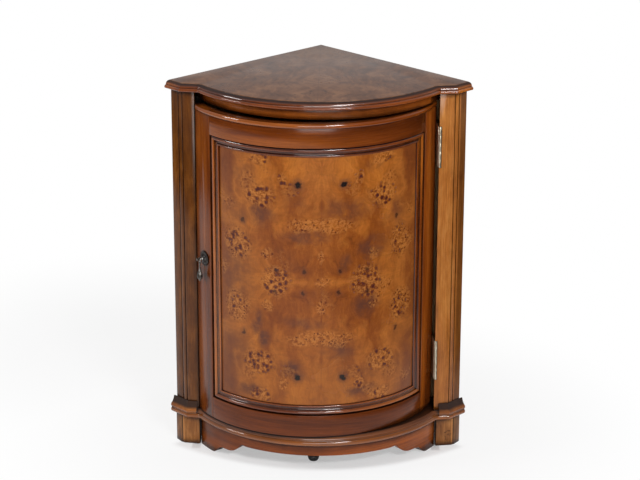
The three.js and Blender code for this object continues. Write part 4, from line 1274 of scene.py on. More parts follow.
        bent = recipe.shifted(leaf, (wander, 0.018), (fray, 0.012))
        knots = self._cover(recipe, bent, self.knots, (1.2, 0.6))
        bent = recipe.shifted(leaf, (wander, 0.018), (fray, 0.01))
        around = self._cover(recipe, bent, self.knots, (2.6, 0.9))
        colour = recipe.blend(around * 0.5, colour, self.cloud)
        colour = recipe.blend(knots, colour, self.knot)
        joint = abs(side).band(0.0007, 0.0002).most(abs(rise).band(0.0007, 0.0002)) * 0.2
        colour = recipe.blend(joint, colour, self.cloud)
        # Glaze and painted shade in the hollows beside the mouldings.
        glaze_and_shade = (recipe.hollow(0.012) + 0.1).band(0.3, 0.75) * 0.85
        colour = recipe.blend(glaze_and_shade, colour, self.eye)

        rough = 0.2 + recipe.noise(recipe.place(), 7.0, 4.0) * 0.12 + eye * 0.1
        return recipe.finish(
            Base_Color=colour,
            Roughness=rough,
            Normal=recipe.bump(fibre * 0.3 - eye * 0.6, 0.00012, 0.4),
            Specular_IOR_Level=0.28,
        )


@dataclass(frozen=True)
class MatchedTop(Finish):
    """Dark burr leaves laid like a fan over the top, under a worn polish."""

    name: str = "top_veneer"
    dark: Colour = (0.072, 0.026, 0.012)
    mid: Colour = (0.142, 0.056, 0.024)
    light: Colour = (0.225, 0.10, 0.044)

    def build(self) -> bpy.types.Material:
        """Makes the material.

        Returns:
            The material.
        """
        recipe = Recipe(self.name)
        x, y, _ = recipe.axes(recipe.place())
        depth = PLAN.back - y
        leaf = recipe.vector(abs(x), depth, (x * x + depth * depth).root())
        wander = recipe.noise_colour(recipe.place(), 8.0, 3.0)
        swirled = recipe.shifted(leaf, (recipe.noise_colour(leaf, 9.0, 3.0), 0.09), (wander, 0.05))
        figure = recipe.drawn(swirled, (13.0, 13.0, 5.0), 6.0, 0.62)
        streak = recipe.drawn(swirled, (80.0, 24.0, 9.0), 4.0, 0.6)
        tone = figure * 0.6 + streak * 0.4
        colour = recipe.ramp(tone, [(0.38, self.dark), (0.5, self.mid), (0.62, self.light)])
        jitter = recipe.shifted(leaf, (recipe.noise_colour(leaf, 70.0), 0.006))
        far, chance = recipe.cells(jitter, 110.0)
        patch = recipe.noise(swirled, 11.0, 2.0).band(0.52, 0.62)
        eyes = far.band(0.34, 0.16) * patch * chance.band(0.4, 0.5)
        colour = recipe.blend(eyes * 0.7, colour, scaled(self.dark, 0.3))
        joint = abs(x).band(0.0009, 0.0003) * 0.4
        colour = recipe.blend(joint, colour, self.dark)
        scuff = recipe.noise(recipe.place(), 14.0, 5.0, 0.6)
        return recipe.finish(
            Base_Color=colour,
            Roughness=0.2 + scuff * 0.2,
            Normal=recipe.bump(streak * 0.4 + scuff * 0.2, 0.0001, 0.35),
            Specular_IOR_Level=0.25,
        )


@dataclass(frozen=True)
class CastMetal(Finish):
    """Metal with darkened hollows, rubbed bright on its high places."""

    name: str
    tarnish: Colour
    bright: Colour
    wear: float = 0.5
    rough: float = 0.34

    def build(self) -> bpy.types.Material:
        """Makes the material.

        Returns:
            The material.
        """
        recipe = Recipe(self.name)
        place = recipe.place()
        pits = recipe.noise(place, 900.0, 3.0)
        patches = recipe.noise(place, 120.0, 4.0)
        edge = Value(recipe, recipe.add("ShaderNodeNewGeometry").outputs["Pointiness"])
        rubbed = (edge.band(0.47, 0.56) * 0.7 + patches.band(0.4, 0.7) * 0.5) * self.wear
        colour = recipe.blend(rubbed, self.tarnish, self.bright)
        return recipe.finish(
            Base_Color=colour,
            Metallic=0.9,
            Roughness=self.rough + pits * 0.12 + (1.0 - rubbed) * 0.1,
            Normal=recipe.bump(pits, 0.00006, 0.4),
        )


@dataclass(frozen=True)
class DarkMoulding(Finish):
    """Smooth black moulded surface with a faint pebble."""

    name: str
    colour: Colour = (0.008, 0.007, 0.007)

    def build(self) -> bpy.types.Material:
        """Makes the material.

        Returns:
            The material.
        """
        recipe = Recipe(self.name)
        pebble = recipe.noise(recipe.place(), 700.0, 3.0)
        tint = recipe.blend(pebble, self.colour, scaled(self.colour, 2.2))
        return recipe.finish(
            Base_Color=tint,
            Roughness=0.34 + pebble * 0.2,
            Normal=recipe.bump(pebble, 0.00005, 0.5),
        )


class Finishes:
    """Every finish of the cupboard, each made once."""

    def __init__(self) -> None:
        """Makes the materials."""
        self.walnut = PolishedWood(
            "walnut", (0.032, 0.006, 0.001), (0.12, 0.025, 0.003), (0.27, 0.07, 0.008),
            glaze_and_shade_reach=0.02,
        ).dress(Slot.WALNUT)
        # A lighter copy of the walnut: painted light on the apron and on the frieze, which lies in the
        # top moulding's shade.
        self.apron = PolishedWood(
            "apron_lit_walnut", (0.08, 0.016, 0.002), (0.205, 0.045, 0.005), (0.36, 0.095, 0.012),
            glaze_and_shade_reach=0.02,
        ).dress(Slot.WALNUT)
        self.edge = PolishedWood(
            "walnut_moulding", (0.05, 0.007, 0.001), (0.185, 0.040, 0.004), (0.37, 0.105, 0.010),
            gloss=0.03, shine=0.6, glaze_and_shade=0.97, glaze_and_shade_reach=0.015, darkened_from=0.7885, dull_from=0.789,
        ).dress(Slot.WALNUT)
        # Darker above the nose: painted shade on the slope at the foot of each pilaster.
        self.plinth = PolishedWood(
            "plinth_walnut", (0.06, 0.012, 0.0015), (0.215, 0.06, 0.007), (0.39, 0.13, 0.016),
            gloss=0.03, shine=0.6, glaze_and_shade=0.97, glaze_and_shade_reach=0.010, darkened_from=0.0846, dull_from=0.0795,
        ).dress(Slot.WALNUT)
        # A lighter copy of the walnut: painted light on the hinge stile, which lies in the pilaster's
        # shade.
        self.stile = PolishedWood(
            "hinge_stile_walnut", (0.075, 0.015, 0.003), (0.24, 0.055, 0.006), (0.38, 0.11, 0.014)
        ).dress(Slot.WALNUT)
        # A darker copy of the pilaster wood: painted shade on the left pilaster, which gets less light.
        self.latch_side = PolishedWood(
            "pilaster_shaded", (0.05, 0.013, 0.002), (0.105, 0.032, 0.005), (0.20, 0.07, 0.012),
            mottle=0.45,
        ).dress(Slot.PILASTER)
        # A lighter copy of the pilaster wood: painted light on the right pilaster.
        self.hinge_side = PolishedWood(
            "pilaster_lit", (0.16, 0.045, 0.008), (0.31, 0.105, 0.02), (0.46, 0.19, 0.045),
            mottle=0.35, facet_shade=0.5,
        ).dress(Slot.PILASTER)
        # Feet: painted shade on the outer chamfer and the inner face, and a painted highlight beside
        # the seam.
        self.foot = PolishedWood(
            "foot_veneer", (0.10, 0.032, 0.008), (0.21, 0.075, 0.017), (0.33, 0.135, 0.036),
            mottle=0.7, facet_shade=0.7, shaded_within=0.2505, seam_at=0.2878, knot_at=(0.2765, 0.024),
        ).dress(Slot.PILASTER)
        self.inside = PolishedWood(
            "plain_wood", (0.2, 0.11, 0.05), (0.33, 0.2, 0.1), (0.43, 0.28, 0.16),
            gloss=0.5, shine=0.3, fibre_depth=0.5, glaze_and_shade=0.4,
        ).dress(Slot.INSIDE)
        # A darker copy of the inside wood; on the bottom board's ledge under the door it is painted
        # shade.
        self.dark_inside = PolishedWood(
            "dark_inside_wood", (0.03, 0.01, 0.004), (0.05, 0.016, 0.006), (0.08, 0.028, 0.01),
            gloss=0.45, shine=0.15,
        ).dress(Slot.INSIDE)
        self.top = MatchedTop().dress(Slot.TOP)
        self.burr = BurrVeneer().dress(Slot.BURR)
        self.brass = CastMetal(
            "hinge_brass", (0.30, 0.23, 0.14), (0.72, 0.66, 0.52), 0.9, 0.24
        ).dress(Slot.HINGE)
        self.antique = CastMetal(
            "antique_brass", (0.07, 0.06, 0.052), (0.72, 0.70, 0.66), 0.75, 0.16
        ).dress(Slot.PULL)
        self.oxidised = CastMetal(
            "oxidised_brass", (0.012, 0.009, 0.008), (0.30, 0.28, 0.27), 0.4, 0.2
        ).dress(Slot.PULL)
        self.steel = CastMetal(
            "steel", (0.28, 0.27, 0.26), (0.6, 0.59, 0.57), 0.8, 0.28
        ).dress(Slot.STEEL)
        self.black = DarkMoulding("black_plastic").dress(Slot.BLACK)


# Parts of the carcase


@dataclass(frozen=True)
class TopBoard:
    """The quarter-round top with its eased arris."""

    arris: float = 0.0053
    easing: float = 0.0012
    sharpest: float = 40.0

    def build(self, finishes: Finishes) -> None:
        """Builds and dresses the board.

        Args:
            finishes: All finishes.
        """
        corner = Vector((0.0, PLAN.back, 0.0))
        line = FrontLine(PLAN.nominal_bow).outline(self.arris) + [corner]
        bench = Bench("top_board", lifted(line, PLAN.top_underside))
        bench.extrude(UP * (PLAN.height - PLAN.top_underside))
        bench.ease(self.easing, 3, self.sharpest).smooth(Crease.PLAIN)
        bench.done(finishes.top, Body.CARCASE)


@dataclass(frozen=True)
class EdgeMoulding:
    """A moulding in five mitred lengths round the canted front."""

    name: str
    section: tuple[Point, ...]
    pilaster_section: tuple[Point, ...]
    bow_radius: float
    overhang: float = 0.0
    spare: float = 0.03

    def _section_at(self, name: str, base: Vector, out: Vector) -> Bench:
        """The section standing at a point of the front line."""
        section = self.section if name == "bow" else self.pilaster_section
        points = [base + out * offset + UP * level for offset, level in section]
        return Bench(f"{self.name}_{name}", points)

    def _straight(self, name: str, side: Side) -> Bench:
        """A return or a canted length on one side.

        Args:
            name: return or cant.
            side: Its side.

        Returns:
            The length.
        """
        line = FrontLine(self.bow_radius, self.overhang)
        square = Vector((-line.mitre.y, line.mitre.x, 0.0))
        if name == "return":
            way = (line.corner - line.end).normalized()
            reach = (line.corner - line.end).length + self.spare
            bench = self._section_at(name, line.end, line.out_wall).extrude(way * reach)
            bench.cut(line.corner, square if square.dot(way) > 0.0 else -square)
        else:
            start = line.corner - line.along * self.spare
            run = line.hollow_start - start
            bench = self._section_at(name, start, line.out_front).extrude(run)
            bench.cut(line.corner, square if square.dot(line.along) < 0.0 else -square)
        if side is Side.RIGHT:
            bench.turned(Matrix.Scale(-1.0, 4, RIGHT)).outwards()
        bench.name_as(f"{self.name}_{side.name.lower()}_{name}")
        return bench

    def _bow(self) -> Bench:
        """The long length: a hollow, the bow and the other hollow.

        Returns:
            The length.
        """
        line = FrontLine(self.bow_radius)
        centre = line.hollow_centre
        left = (centre, line.hollow_turn, HOLLOW_STEPS)
        bow = (PLAN.bow, -2.0 * line.bow_start, BOW_STEPS)
        right = (Vector((-centre.x, centre.y, 0.0)), line.hollow_turn, HOLLOW_STEPS)
        return self._section_at("bow", line.hollow_start, line.out_front).spin(left, bow, right)

    def build(self, dress: Dress) -> None:
        """Builds and dresses the five lengths.

        Args:
            dress: Its finish.
        """
        for index, side in enumerate(Side):
            for turn, name in enumerate(("return", "cant")):
                bench = self._straight(name, side)
                bench.grain(Lay(0.37 * index + 0.19 * turn + 0.1)).smooth(Crease.MOULDED)
                bench.done(dress, Body.CARCASE)
        bench = self._bow()
        bench.grain(Lay(1.3, radius=self.bow_radius)).smooth(Crease.MOULDED)
        bench.done(dress, Body.CARCASE)


def top_section() -> tuple[Point, ...]:
    """Ovolo above a rounded nose, round the top board.

    Returns:
        Offsets from the front line, and levels.
    """
    low = PLAN.top_underside
    nose = arc_points((0.01355, low + 0.00365), (0.00365, 0.00365), -90.0, 84.0, 14)
    ovolo = arc_points((0.0056, low + 0.0076), (0.0078, 0.0076), 0.0, 90.0, 12)
    return ((0.0056, low), *nose, *ovolo)


def plinth_section() -> tuple[Point, ...]:
    """Ovolo above a heavier nose, round the bottom board.

    Returns:
        Offsets from the front line, and levels.
    """
    low = PLAN.foot_top
    nose = arc_points((0.0058, low + 0.006), (0.0057, 0.006), -90.0, 66.0, 14)
    ovolo = arc_points((0.0003, low + 0.0121), (0.0076, 0.0079), 0.0, 90.0, 12)
    return ((0.0003, low), *nose, *ovolo)


def plinth_cove_section() -> tuple[Point, ...]:
    """The same nose under a second round and a slope, round the foot of a pilaster.

    Returns:
        Offsets from the front line, and levels.
    """
    low = PLAN.foot_top
    nose = arc_points((0.0058, low + 0.006), (0.0057, 0.006), -90.0, 48.0, 12)
    upper = arc_points((0.0065, low + 0.0165), (0.0049, 0.006), -52.0, 32.0, 10)
    slope = arc_points((0.0225, PLAN.cove_top + 0.0065), (0.0205, 0.0275), 222.0, 196.0, 6)
    return ((0.0003, low), *nose, *upper, *slope, (0.0022, PLAN.cove_top), (0.0003, PLAN.cove_top))


@dataclass(frozen=True)
class Pilaster:
    """A pilaster with a plain return, a quirked bead near its corner and a canted front."""

    side: Side
    opening: float
    bead: float = 0.010
    bead_rise: float = 0.0012
    quirk: float = 0.002
    quirk_depth: float = 0.0024
    corner_flat: float = 0.0035
    panel_face: float = 0.0083
    rebate: float = 0.012
    easing: float = 0.0003

    def profile(self) -> list[Point]:
        """The return's face from the wall to the corner: inwards and rise.

        Returns:
            The points from the wall on.
        """
        end = PLAN.return_width - self.corner_flat
        bead = end - self.quirk
        start = bead - self.bead
        quirk = (self.quirk / 2.0, self.quirk_depth)
        round_top = (self.bead / 2.0, self.bead_rise)
        first = arc_points((start - self.quirk / 2.0, 0.0), quirk, -180.0, -4.0, 8)
        crown = arc_points((start + self.bead / 2.0, 0.0), round_top, 176.0, 4.0, 14)
        return first + crown + arc_points((bead + self.quirk / 2.0, 0.0), quirk, -176.0, 0.0, 8)

    def outline(self, beaded: bool = True) -> list[Vector]:
        """The pilaster's plan on the left side.

        Args:
            beaded: True with the bead.

        Returns:
            Points on the floor.
        """
        length = PLAN.wall_length
        corner = PLAN.wall(Side.LEFT, length, PLAN.return_width)
        slope = math.tan(math.radians(PLAN.cant))
        arris = Vector((-self.opening, corner.y + slope * (self.opening + corner.x), 0.0))
        inside = self.opening * math.sqrt(2.0) + self.panel_face
        profile = self.profile() if beaded else []
        face = [PLAN.wall(Side.LEFT, length + rise, inwards) for inwards, rise in profile]
        return [
            PLAN.wall(Side.LEFT, length),
            *face,
            corner,
            arris,
            PLAN.wall(Side.LEFT, inside, self.panel_face),
            PLAN.wall(Side.LEFT, inside + self.rebate, self.panel_face),
            PLAN.wall(Side.LEFT, inside + self.rebate),
        ]

    def placed(self, points: Sequence[Vector], level: float) -> list[Vector]:
        """The plan on this side at a level."""
        return [Vector((-self.side.value * p.x, p.y, level)) for p in points]

    def build(self, dress: Dress, name: str, seats: Sequence[Bench] = ()) -> None:
        """Builds and dresses the pilaster.

        Args:
            dress: Its finish.
            name: The CAD node that it replaces.
            seats: Tools that cut the hinges' seats.
        """
        level = PLAN.cove_top + PLAN.fit
        plain = Bench("plain", self.placed(self.outline(False), PLAN.bottom_top))
        plain.extrude(UP * (level - PLAN.bottom_top))
        bench = Bench(name, self.placed(self.outline(), level))
        bench.extrude(UP * (PLAN.top_underside - level)).hollow(*seats).unite(plain)
        bench.ease(self.easing).grain(Lay(0.4 * self.side.value + 0.9, True)).smooth(Crease.BOWED)
        bench.done(dress, Body.CARCASE)


@dataclass(frozen=True)
class FootBlock:
    """A shaped foot with a chamfered corner and a soft lower edge."""

    pilaster: Pilaster
    proud: float = 0.0025
    corner: Point = (0.288, 0.323)
    end: Point = (0.250, 0.329)
    chamfer: float = 0.005
    softness: float = 0.0024

    def outline(self) -> list[Vector]:
        """The foot's plan on the left side.

        Returns:
            Points on the floor.
        """
        corner = Vector((-self.corner[0], PLAN.back - self.corner[1], 0.0))
        end = Vector((-self.end[0], PLAN.back - self.end[1], 0.0))
        wall = PLAN.wall(Side.LEFT, PLAN.wall_length + self.proud * math.sqrt(2.0))
        back = (wall - corner).normalized() * self.chamfer
        front = (end - corner).normalized() * self.chamfer
        inside = PLAN.wall(Side.LEFT, self.end[0] * math.sqrt(2.0))
        return [wall, corner + back, corner + front, end, inside]

    def build(self, dress: Dress, name: str) -> None:
        """Builds and dresses the foot and the plain part above it.

        Args:
            dress: Its finish.
            name: The CAD node that it replaces.
        """
        shape = self.pilaster
        foot = Bench(name, shape.placed(self.outline(), 0.0)).extrude(UP * PLAN.foot_top)
        foot.ease(self.softness, 4)
        upper = Bench("upper", shape.placed(shape.outline(False), PLAN.foot_top))
        upper.extrude(UP * (PLAN.bottom_top - PLAN.foot_top))
        foot.unite(upper).grain(Lay(0.77 * shape.side.value + 1.9, True)).smooth(Crease.PLAIN)
        foot.done(dress, Body.CARCASE)


@dataclass(frozen=True)
class Apron:
    """The scalloped apron between the feet."""

    thickness: float = 0.020
    end: float = 0.2475
    arch: float = 0.039
    right_spread: float = 1.05
    steps: int = 480
    easing: float = 0.0008
    edge: tuple[Point, ...] = (
        (0.51, 1.0), (0.535, 1.02), (0.552, 1.03), (0.57, 0.94), (0.59, 0.78), (0.62, 0.6),
        (0.65, 0.51), (0.68, 0.48), (0.715, 0.48), (0.745, 0.47), (0.77, 0.4), (0.795, 0.22),
        (0.82, 0.06), (0.845, 0.0),
    )

    def _smooth(self, share: float) -> float:
        """The lower edge's height at a share of the half angle, as a share of the arch.

        Args:
            share: Share of the half angle.

        Returns:
            Share of the arch.
        """
        table = self.edge
        if share <= table[0][0]:
            return 1.0
        if share >= table[-1][0]:
            return 0.0
        index = max(i for i in range(len(table) - 1) if table[i][0] <= share)
        low, high = table[index], table[index + 1]
        before, after = table[max(index - 1, 0)], table[min(index + 2, len(table) - 1)]
        span = high[0] - low[0]
        first, last = index == 0, index == len(table) - 2
        rise_low = 0.0 if first else (high[1] - before[1]) / (high[0] - before[0]) * span
        rise_high = 0.0 if last else (after[1] - low[1]) / (after[0] - low[0]) * span
        t = (share - low[0]) / span
        keep = low[1] * (2 * t**3 - 3 * t**2 + 1) + high[1] * (3 * t**2 - 2 * t**3)
        return max(keep + rise_low * (t**3 - 2 * t**2 + t) + rise_high * (t**3 - t**2), 0.0)

    def _level(self, place: Vector) -> float:
        """The lower edge's height at a point of the apron.

        Args:
            place: The point.

        Returns:
            The height.
        """
        spoke = place - PLAN.bow
        turn = math.degrees(math.atan2(spoke.x, -spoke.y))
        half = PLAN.turn_at(PLAN.apron_radius, self.end)
        share = -turn / half if turn < 0.0 else turn / half / self.right_spread
        return self.arch * self._smooth(share)

    def build(self, dress: Dress) -> None:
        """Builds and dresses the apron.

        Args:
            dress: Its finish.
        """
        outer = PLAN.apron_radius
        half = PLAN.turn_at(outer, self.end)
        radii = (outer - self.thickness, outer)
        low = [PLAN.on_bow(radius, -half, 0.0) for radius in radii]
        high = [PLAN.on_bow(radius, -half, PLAN.foot_top) for radius in reversed(radii)]
        bench = Bench("apron", low + high).spin((PLAN.bow, 2.0 * half, self.steps))
        half_way = PLAN.foot_top / 2.0
        bench.move_points(lambda p: Vector((p.x, p.y, self._level(p))) if p.z < half_way else p)
        bench.ease(self.easing).grain(Lay(2.2, radius=outer)).smooth(Crease.BOWED)
        bench.done(dress, Body.CARCASE)


@dataclass(frozen=True)
class Frieze:
    """The curved rail over the door, with its back pieces to the walls."""

    thickness: float = 0.020
    inner_share: float = 0.91
    face: float = 0.0092
    easing: float = 0.0005

    def build(self, dress: Dress) -> None:
        """Builds and dresses the rail.

        Args:
            dress: Its finish.
        """
        outer = PLAN.frieze_radius
        ends = (-PLAN.latch_opening + PLAN.fit, PLAN.hinge_opening - PLAN.fit)
        turns = [PLAN.turn_at(outer, x) for x in ends]
        inner = [turn * self.inner_share for turn in turns]
        reaches = [abs(x) * math.sqrt(2.0) + self.face for x in ends]
        left, right = (PLAN.wall(side, reach, self.face) for side, reach in zip(Side, reaches))
        front = bow_points(outer, turns[0], turns[1], 96)
        behind = bow_points(outer - self.thickness, inner[1], inner[0], 90)
        points = lifted([*front, right, *behind, left], PLAN.frieze_bottom)
        bench = Bench("frieze_rail", points).extrude(UP * (PLAN.top_underside - PLAN.frieze_bottom))
        bench.ease(self.easing).grain(Lay(3.1, radius=outer)).smooth(Crease.BOWED)
        bench.done(dress, Body.CARCASE)


@dataclass(frozen=True)
class Boards:
    """The walls, post, boards, cleats and blocks, with their arrises eased."""

    easing: float = 0.0008
    magnet_easing: float = 0.0006
    strike_easing: float = 0.0002
    upright: tuple[str, ...] = (
        "side_panel_left", "side_panel_right", "corner_post", "middle_leg", "door_stop",
    )
    level: tuple[str, ...] = (
        "bottom_board", "shelf", "shelf_cleat_left", "shelf_cleat_right",
        "top_block_left", "top_block_right",
    )
    # Boards in the darker inside wood; on the bottom board's ledge under the door the dark is painted
    # shade.
    dark: tuple[str, ...] = ("bottom_board", "door_stop", "middle_leg")
    glide_at: Point = (-0.0075, 0.405)
    glide_line: tuple[Point, ...] = (
        (0.0, 0.0), (0.005, 0.0), (0.0085, 0.0012), (0.0105, 0.0038), (0.0117, 0.0071),
        (0.012, 0.0105), (0.0119, 0.012), (0.0112, 0.013), (0.0, 0.013),
    )

    def build(self, finishes: Finishes) -> None:
        """Builds and dresses them all.

        Args:
            finishes: All finishes.
        """
        for index, node in enumerate(self.upright + self.level):
            lay = Lay(0.53 * index, node in self.upright)
            dress = finishes.dark_inside if node in self.dark else finishes.inside
            bench = Bench.copy_of(node).ease(self.easing, above=PLAIN_EDGE)
            bench.grain(lay).smooth(Crease.PLAIN).done(dress, Body.CARCASE)
        magnet = Bench.copy_of("door_magnet").ease(self.magnet_easing, 3, PLAIN_EDGE)
        magnet.smooth(Crease.PLAIN).done(finishes.black, Body.CARCASE)
        self._glide(finishes.black)

    def build_strike(self, dress: Dress) -> None:
        """Builds and dresses the plate on the door that meets the magnet."""
        strike = Bench.copy_of("strike_plate").ease(self.strike_easing, above=PLAIN_EDGE)
        strike.smooth(Crease.PLAIN).done(dress, Body.DOOR)

    def _glide(self, dress: Dress) -> None:
        """The round glide under the middle leg.

        Args:
            dress: Its finish.
        """
        axis = Vector((self.glide_at[0], PLAN.back - self.glide_at[1], 0.0))
        points = [axis + Vector((radius, 0.0, level)) for radius, level in self.glide_line]
        bench = Bench("middle_glide", points, closed=False).revolve(axis, UP, 40)
        bench.smooth(Crease.ROUND).done(dress, Body.CARCASE)


# Parts of the door


@dataclass(frozen=True)
class DoorFrame:
    """Two full-height stiles with rails between them, made shut and then set ajar."""

    inner: float = 0.246
    hinge_depth: float = 0.028
    top_rail: float = 0.050
    bottom_rail: float = 0.046
    seam: float = 0.00008
    easing: float = 0.0004

    @property
    def seam_turn(self) -> float:
        """Degrees that each side of a joint keeps back for its seam."""
        return math.degrees(self.seam / PLAN.frieze_radius)

    def _finish(self, bench: Bench, lay: Lay, dress: Dress) -> None:
        """Eases a piece of the frame and hangs it on the door."""
        bench.ease(self.easing).grain(lay).smooth(Crease.BOWED).hang(dress)

    def _stile(
        self, name: str, points: Sequence[Vector], dress: Dress, shift: float, *holes: Bench
    ) -> None:
        """A stile from its plan.

        Args:
            name: The stile's name.
            points: Its plan.
            dress: Its finish.
            shift: Offset of its grain.
            holes: Tools that drill it.
        """
        bench = Bench(name, lifted(points, PLAN.door_bottom))
        bench.extrude(UP * (PLAN.door_top - PLAN.door_bottom)).hollow(*holes)
        self._finish(bench, Lay(shift, True, PLAN.frieze_radius), dress)

    def _rail(self, name: str, low: float, high: float, dress: Dress, shift: float) -> None:
        """A rail between the stiles.

        Args:
            name: The rail's name.
            low: Its lower edge.
            high: Its upper edge.
            dress: Its finish.
            shift: Offset of its grain.
        """
        inner, outer = self.inner, PLAN.frieze_radius
        start = PLAN.latch_joint + self.seam_turn
        end = PLAN.hinge_joint - self.seam_turn
        corners = [(inner, low), (outer, low), (outer, high), (inner, high)]
        points = [PLAN.on_bow(radius, start, level) for radius, level in corners]
        bench = Bench(name, points).spin((PLAN.bow, end - start, 110))
        self._finish(bench, Lay(shift, radius=outer), dress)

    def build(self, finishes: Finishes, hole: Bench) -> None:
        """Builds and dresses the four pieces.

        Args:
            finishes: All finishes.
            hole: The tool that drills the pull's hole.
        """
        outer = PLAN.frieze_radius
        latch = PLAN.turn_at(outer, -PLAN.latch_edge)
        hinge = PLAN.turn_at(outer, PLAN.hinge_edge)
        joint = PLAN.latch_joint - self.seam_turn
        stile = bow_points(outer, latch, joint, 10) + bow_points(self.inner, joint, latch, 10)
        self._stile("latch_stile", stile, finishes.walnut, 0.0, hole)
        joint = PLAN.hinge_joint + self.seam_turn
        front = bow_points(outer, joint, hinge, 14)
        edge = front[-1] + BACKWARDS * self.hinge_depth
        stile = [*front, edge, PLAN.on_bow(self.inner, joint)]
        # The hinge stile takes the lighter walnut copy: painted light in the pilaster's shade.
        self._stile("hinge_stile", stile, finishes.stile, 0.83)
        low, high = PLAN.door_bottom, PLAN.door_top
        self._rail("door_top_rail", high - self.top_rail, high, finishes.walnut, 1.7)
        self._rail("door_bottom_rail", low, low + self.bottom_rail, finishes.walnut, 2.6)


@dataclass(frozen=True)
class DoorPanel:
    """The burr panel with its planted mouldings."""

    face: float = 0.2555
    back: float = 0.2485
    tongue: float = 0.0072
    width: float = 0.020
    lift: float = 0.0003
    gap: float = 0.00045
    low: float = 0.1315
    high: float = 0.701

    def section(self) -> list[Point]:
        """The moulding's section: distance from the frame, and height above the panel.

        Returns:
            The points in order.
        """
        crown = arc_points((0.0052, 0.0030), (0.0048, 0.0044), 172.0, 20.0, 14)
        hollow = arc_points((0.01335, 0.0046), (0.0042, 0.0030), 200.0, 290.0, 8)
        bead = arc_points((0.0172, 0.0016), (0.0024, 0.0021), 165.0, 8.0, 10)
        return [(0.0, 0.0), (0.0, 0.0042), *crown, *hollow, *bead, (0.0199, 0.0)]

    def _tangent(self, turn: float) -> Vector:
        """The way along the bow at an angle."""
        return Vector((math.cos(math.radians(turn)), math.sin(math.radians(turn)), 0.0))

    def _mouldings(self, dress: Dress) -> None:
        """The four mitred mouldings.

        Args:
            dress: Their finish.
        """
        base = self.face + self.lift
        spread = math.degrees(self.width / 2.0 / self.face)
        edge = math.degrees(self.gap / self.face)
        ends = {1: PLAN.latch_joint + edge, -1: PLAN.hinge_joint - edge}
        middles = {across: end + across * spread for across, end in ends.items()}
        levels = {1: self.low + self.lift, -1: self.high - self.lift}
        names = {1: "bottom", -1: "top"}
        section = self.section()
        for up, level in levels.items():
            start = ends[1] - 1.0
            points = [PLAN.on_bow(base + rise, start, level + up * run) for run, rise in section]
            bench = Bench(f"panel_moulding_{names[up]}", points)
            bench.spin((PLAN.bow, ends[-1] - ends[1] + 2.0, 112))
            for across, middle in middles.items():
                way = self._tangent(middle)
                corner = PLAN.on_bow(base, middle, level) - way * (across * self.width / 2.0)
                bench.cut(corner, (UP * up - way * across).normalized())
            bench.grain(Lay(4.1 + up, radius=PLAN.frieze_radius)).smooth(Crease.PLAIN).hang(dress)
        for across, middle in middles.items():
            way = self._tangent(middle)
            out = PLAN.out_at(middle)
            foot = PLAN.on_bow(base, middle, levels[1]) - way * (across * self.width / 2.0)
            points = [foot + way * (across * run) + out * rise for run, rise in section]
            name = "panel_moulding_left" if across > 0 else "panel_moulding_right"
            bench = Bench(name, points).extrude(UP * (levels[-1] - levels[1]))
            for up, level in levels.items():
                corner = Vector((foot.x, foot.y, level))
                bench.cut(corner, (way * across - UP * up).normalized())
            bench.grain(Lay(5.3 + across, True)).smooth(Crease.PLAIN).hang(dress)

    def build(self, finishes: Finishes) -> None:
        """Builds and dresses the panel and its mouldings.

        Args:
            finishes: All finishes.
        """
        reach = math.degrees(self.tongue / self.face)
        start = PLAN.latch_joint - reach
        end = PLAN.hinge_joint + reach
        low, high = self.low - self.tongue, self.high + self.tongue
        corners = [(self.back, low), (self.face, low), (self.face, high), (self.back, high)]
        points = [PLAN.on_bow(radius, start, level) for radius, level in corners]
        bench = Bench("burr_panel", points).spin((PLAN.bow, end - start, 150))
        bench.grain(Lay(0.0, True, self.face)).smooth(Crease.PLAIN).hang(finishes.burr)
        self._mouldings(finishes.edge)


@dataclass(frozen=True)
class DoorBead:
    """The half-round bead along the door's top."""

    height: float = 0.0095
    rise: float = 0.003

    def build(self, dress: Dress) -> None:
        """Builds and dresses the bead.

        Args:
            dress: Its finish.
        """
        base = PLAN.frieze_radius + PLAN.fit
        low = PLAN.door_top - self.height
        ends = [PLAN.turn_at(base + self.rise, x) for x in (-PLAN.latch_edge, PLAN.hinge_edge)]
        section = arc_points((0.0, self.height / 2.0), (self.rise, self.height / 2.0), -90.0, 90.0, 16)
        points = [PLAN.on_bow(base + out, ends[0], low + level) for out, level in section]
        bench = Bench("door_bead", points).spin((PLAN.bow, ends[1] - ends[0], 120))
        bench.grain(Lay(6.6, radius=PLAN.frieze_radius)).smooth(Crease.ROUND).hang(dress)


# Hinges


def round_bar(name: str, foot: Vector, radius: float, length: float) -> Bench:
    """An upright round bar on the bench, from the middle of its lower end."""
    return Bench(name, circle(foot, RIGHT, BACKWARDS, radius, 32)).extrude(UP * length)


def block(name: str, low: Vector, high: Vector) -> Bench:
    """A square block between two corners."""
    corners = ((low.x, low.y), (high.x, low.y), (high.x, high.y), (low.x, high.y))
    return Bench(name, [Vector((x, y, low.z)) for x, y in corners]).extrude(UP * (high.z - low.z))


class HingePlace(Enum):
    """The two hinges, by the height of their middles."""

    UPPER = 0.6625
    LOWER = 0.1965


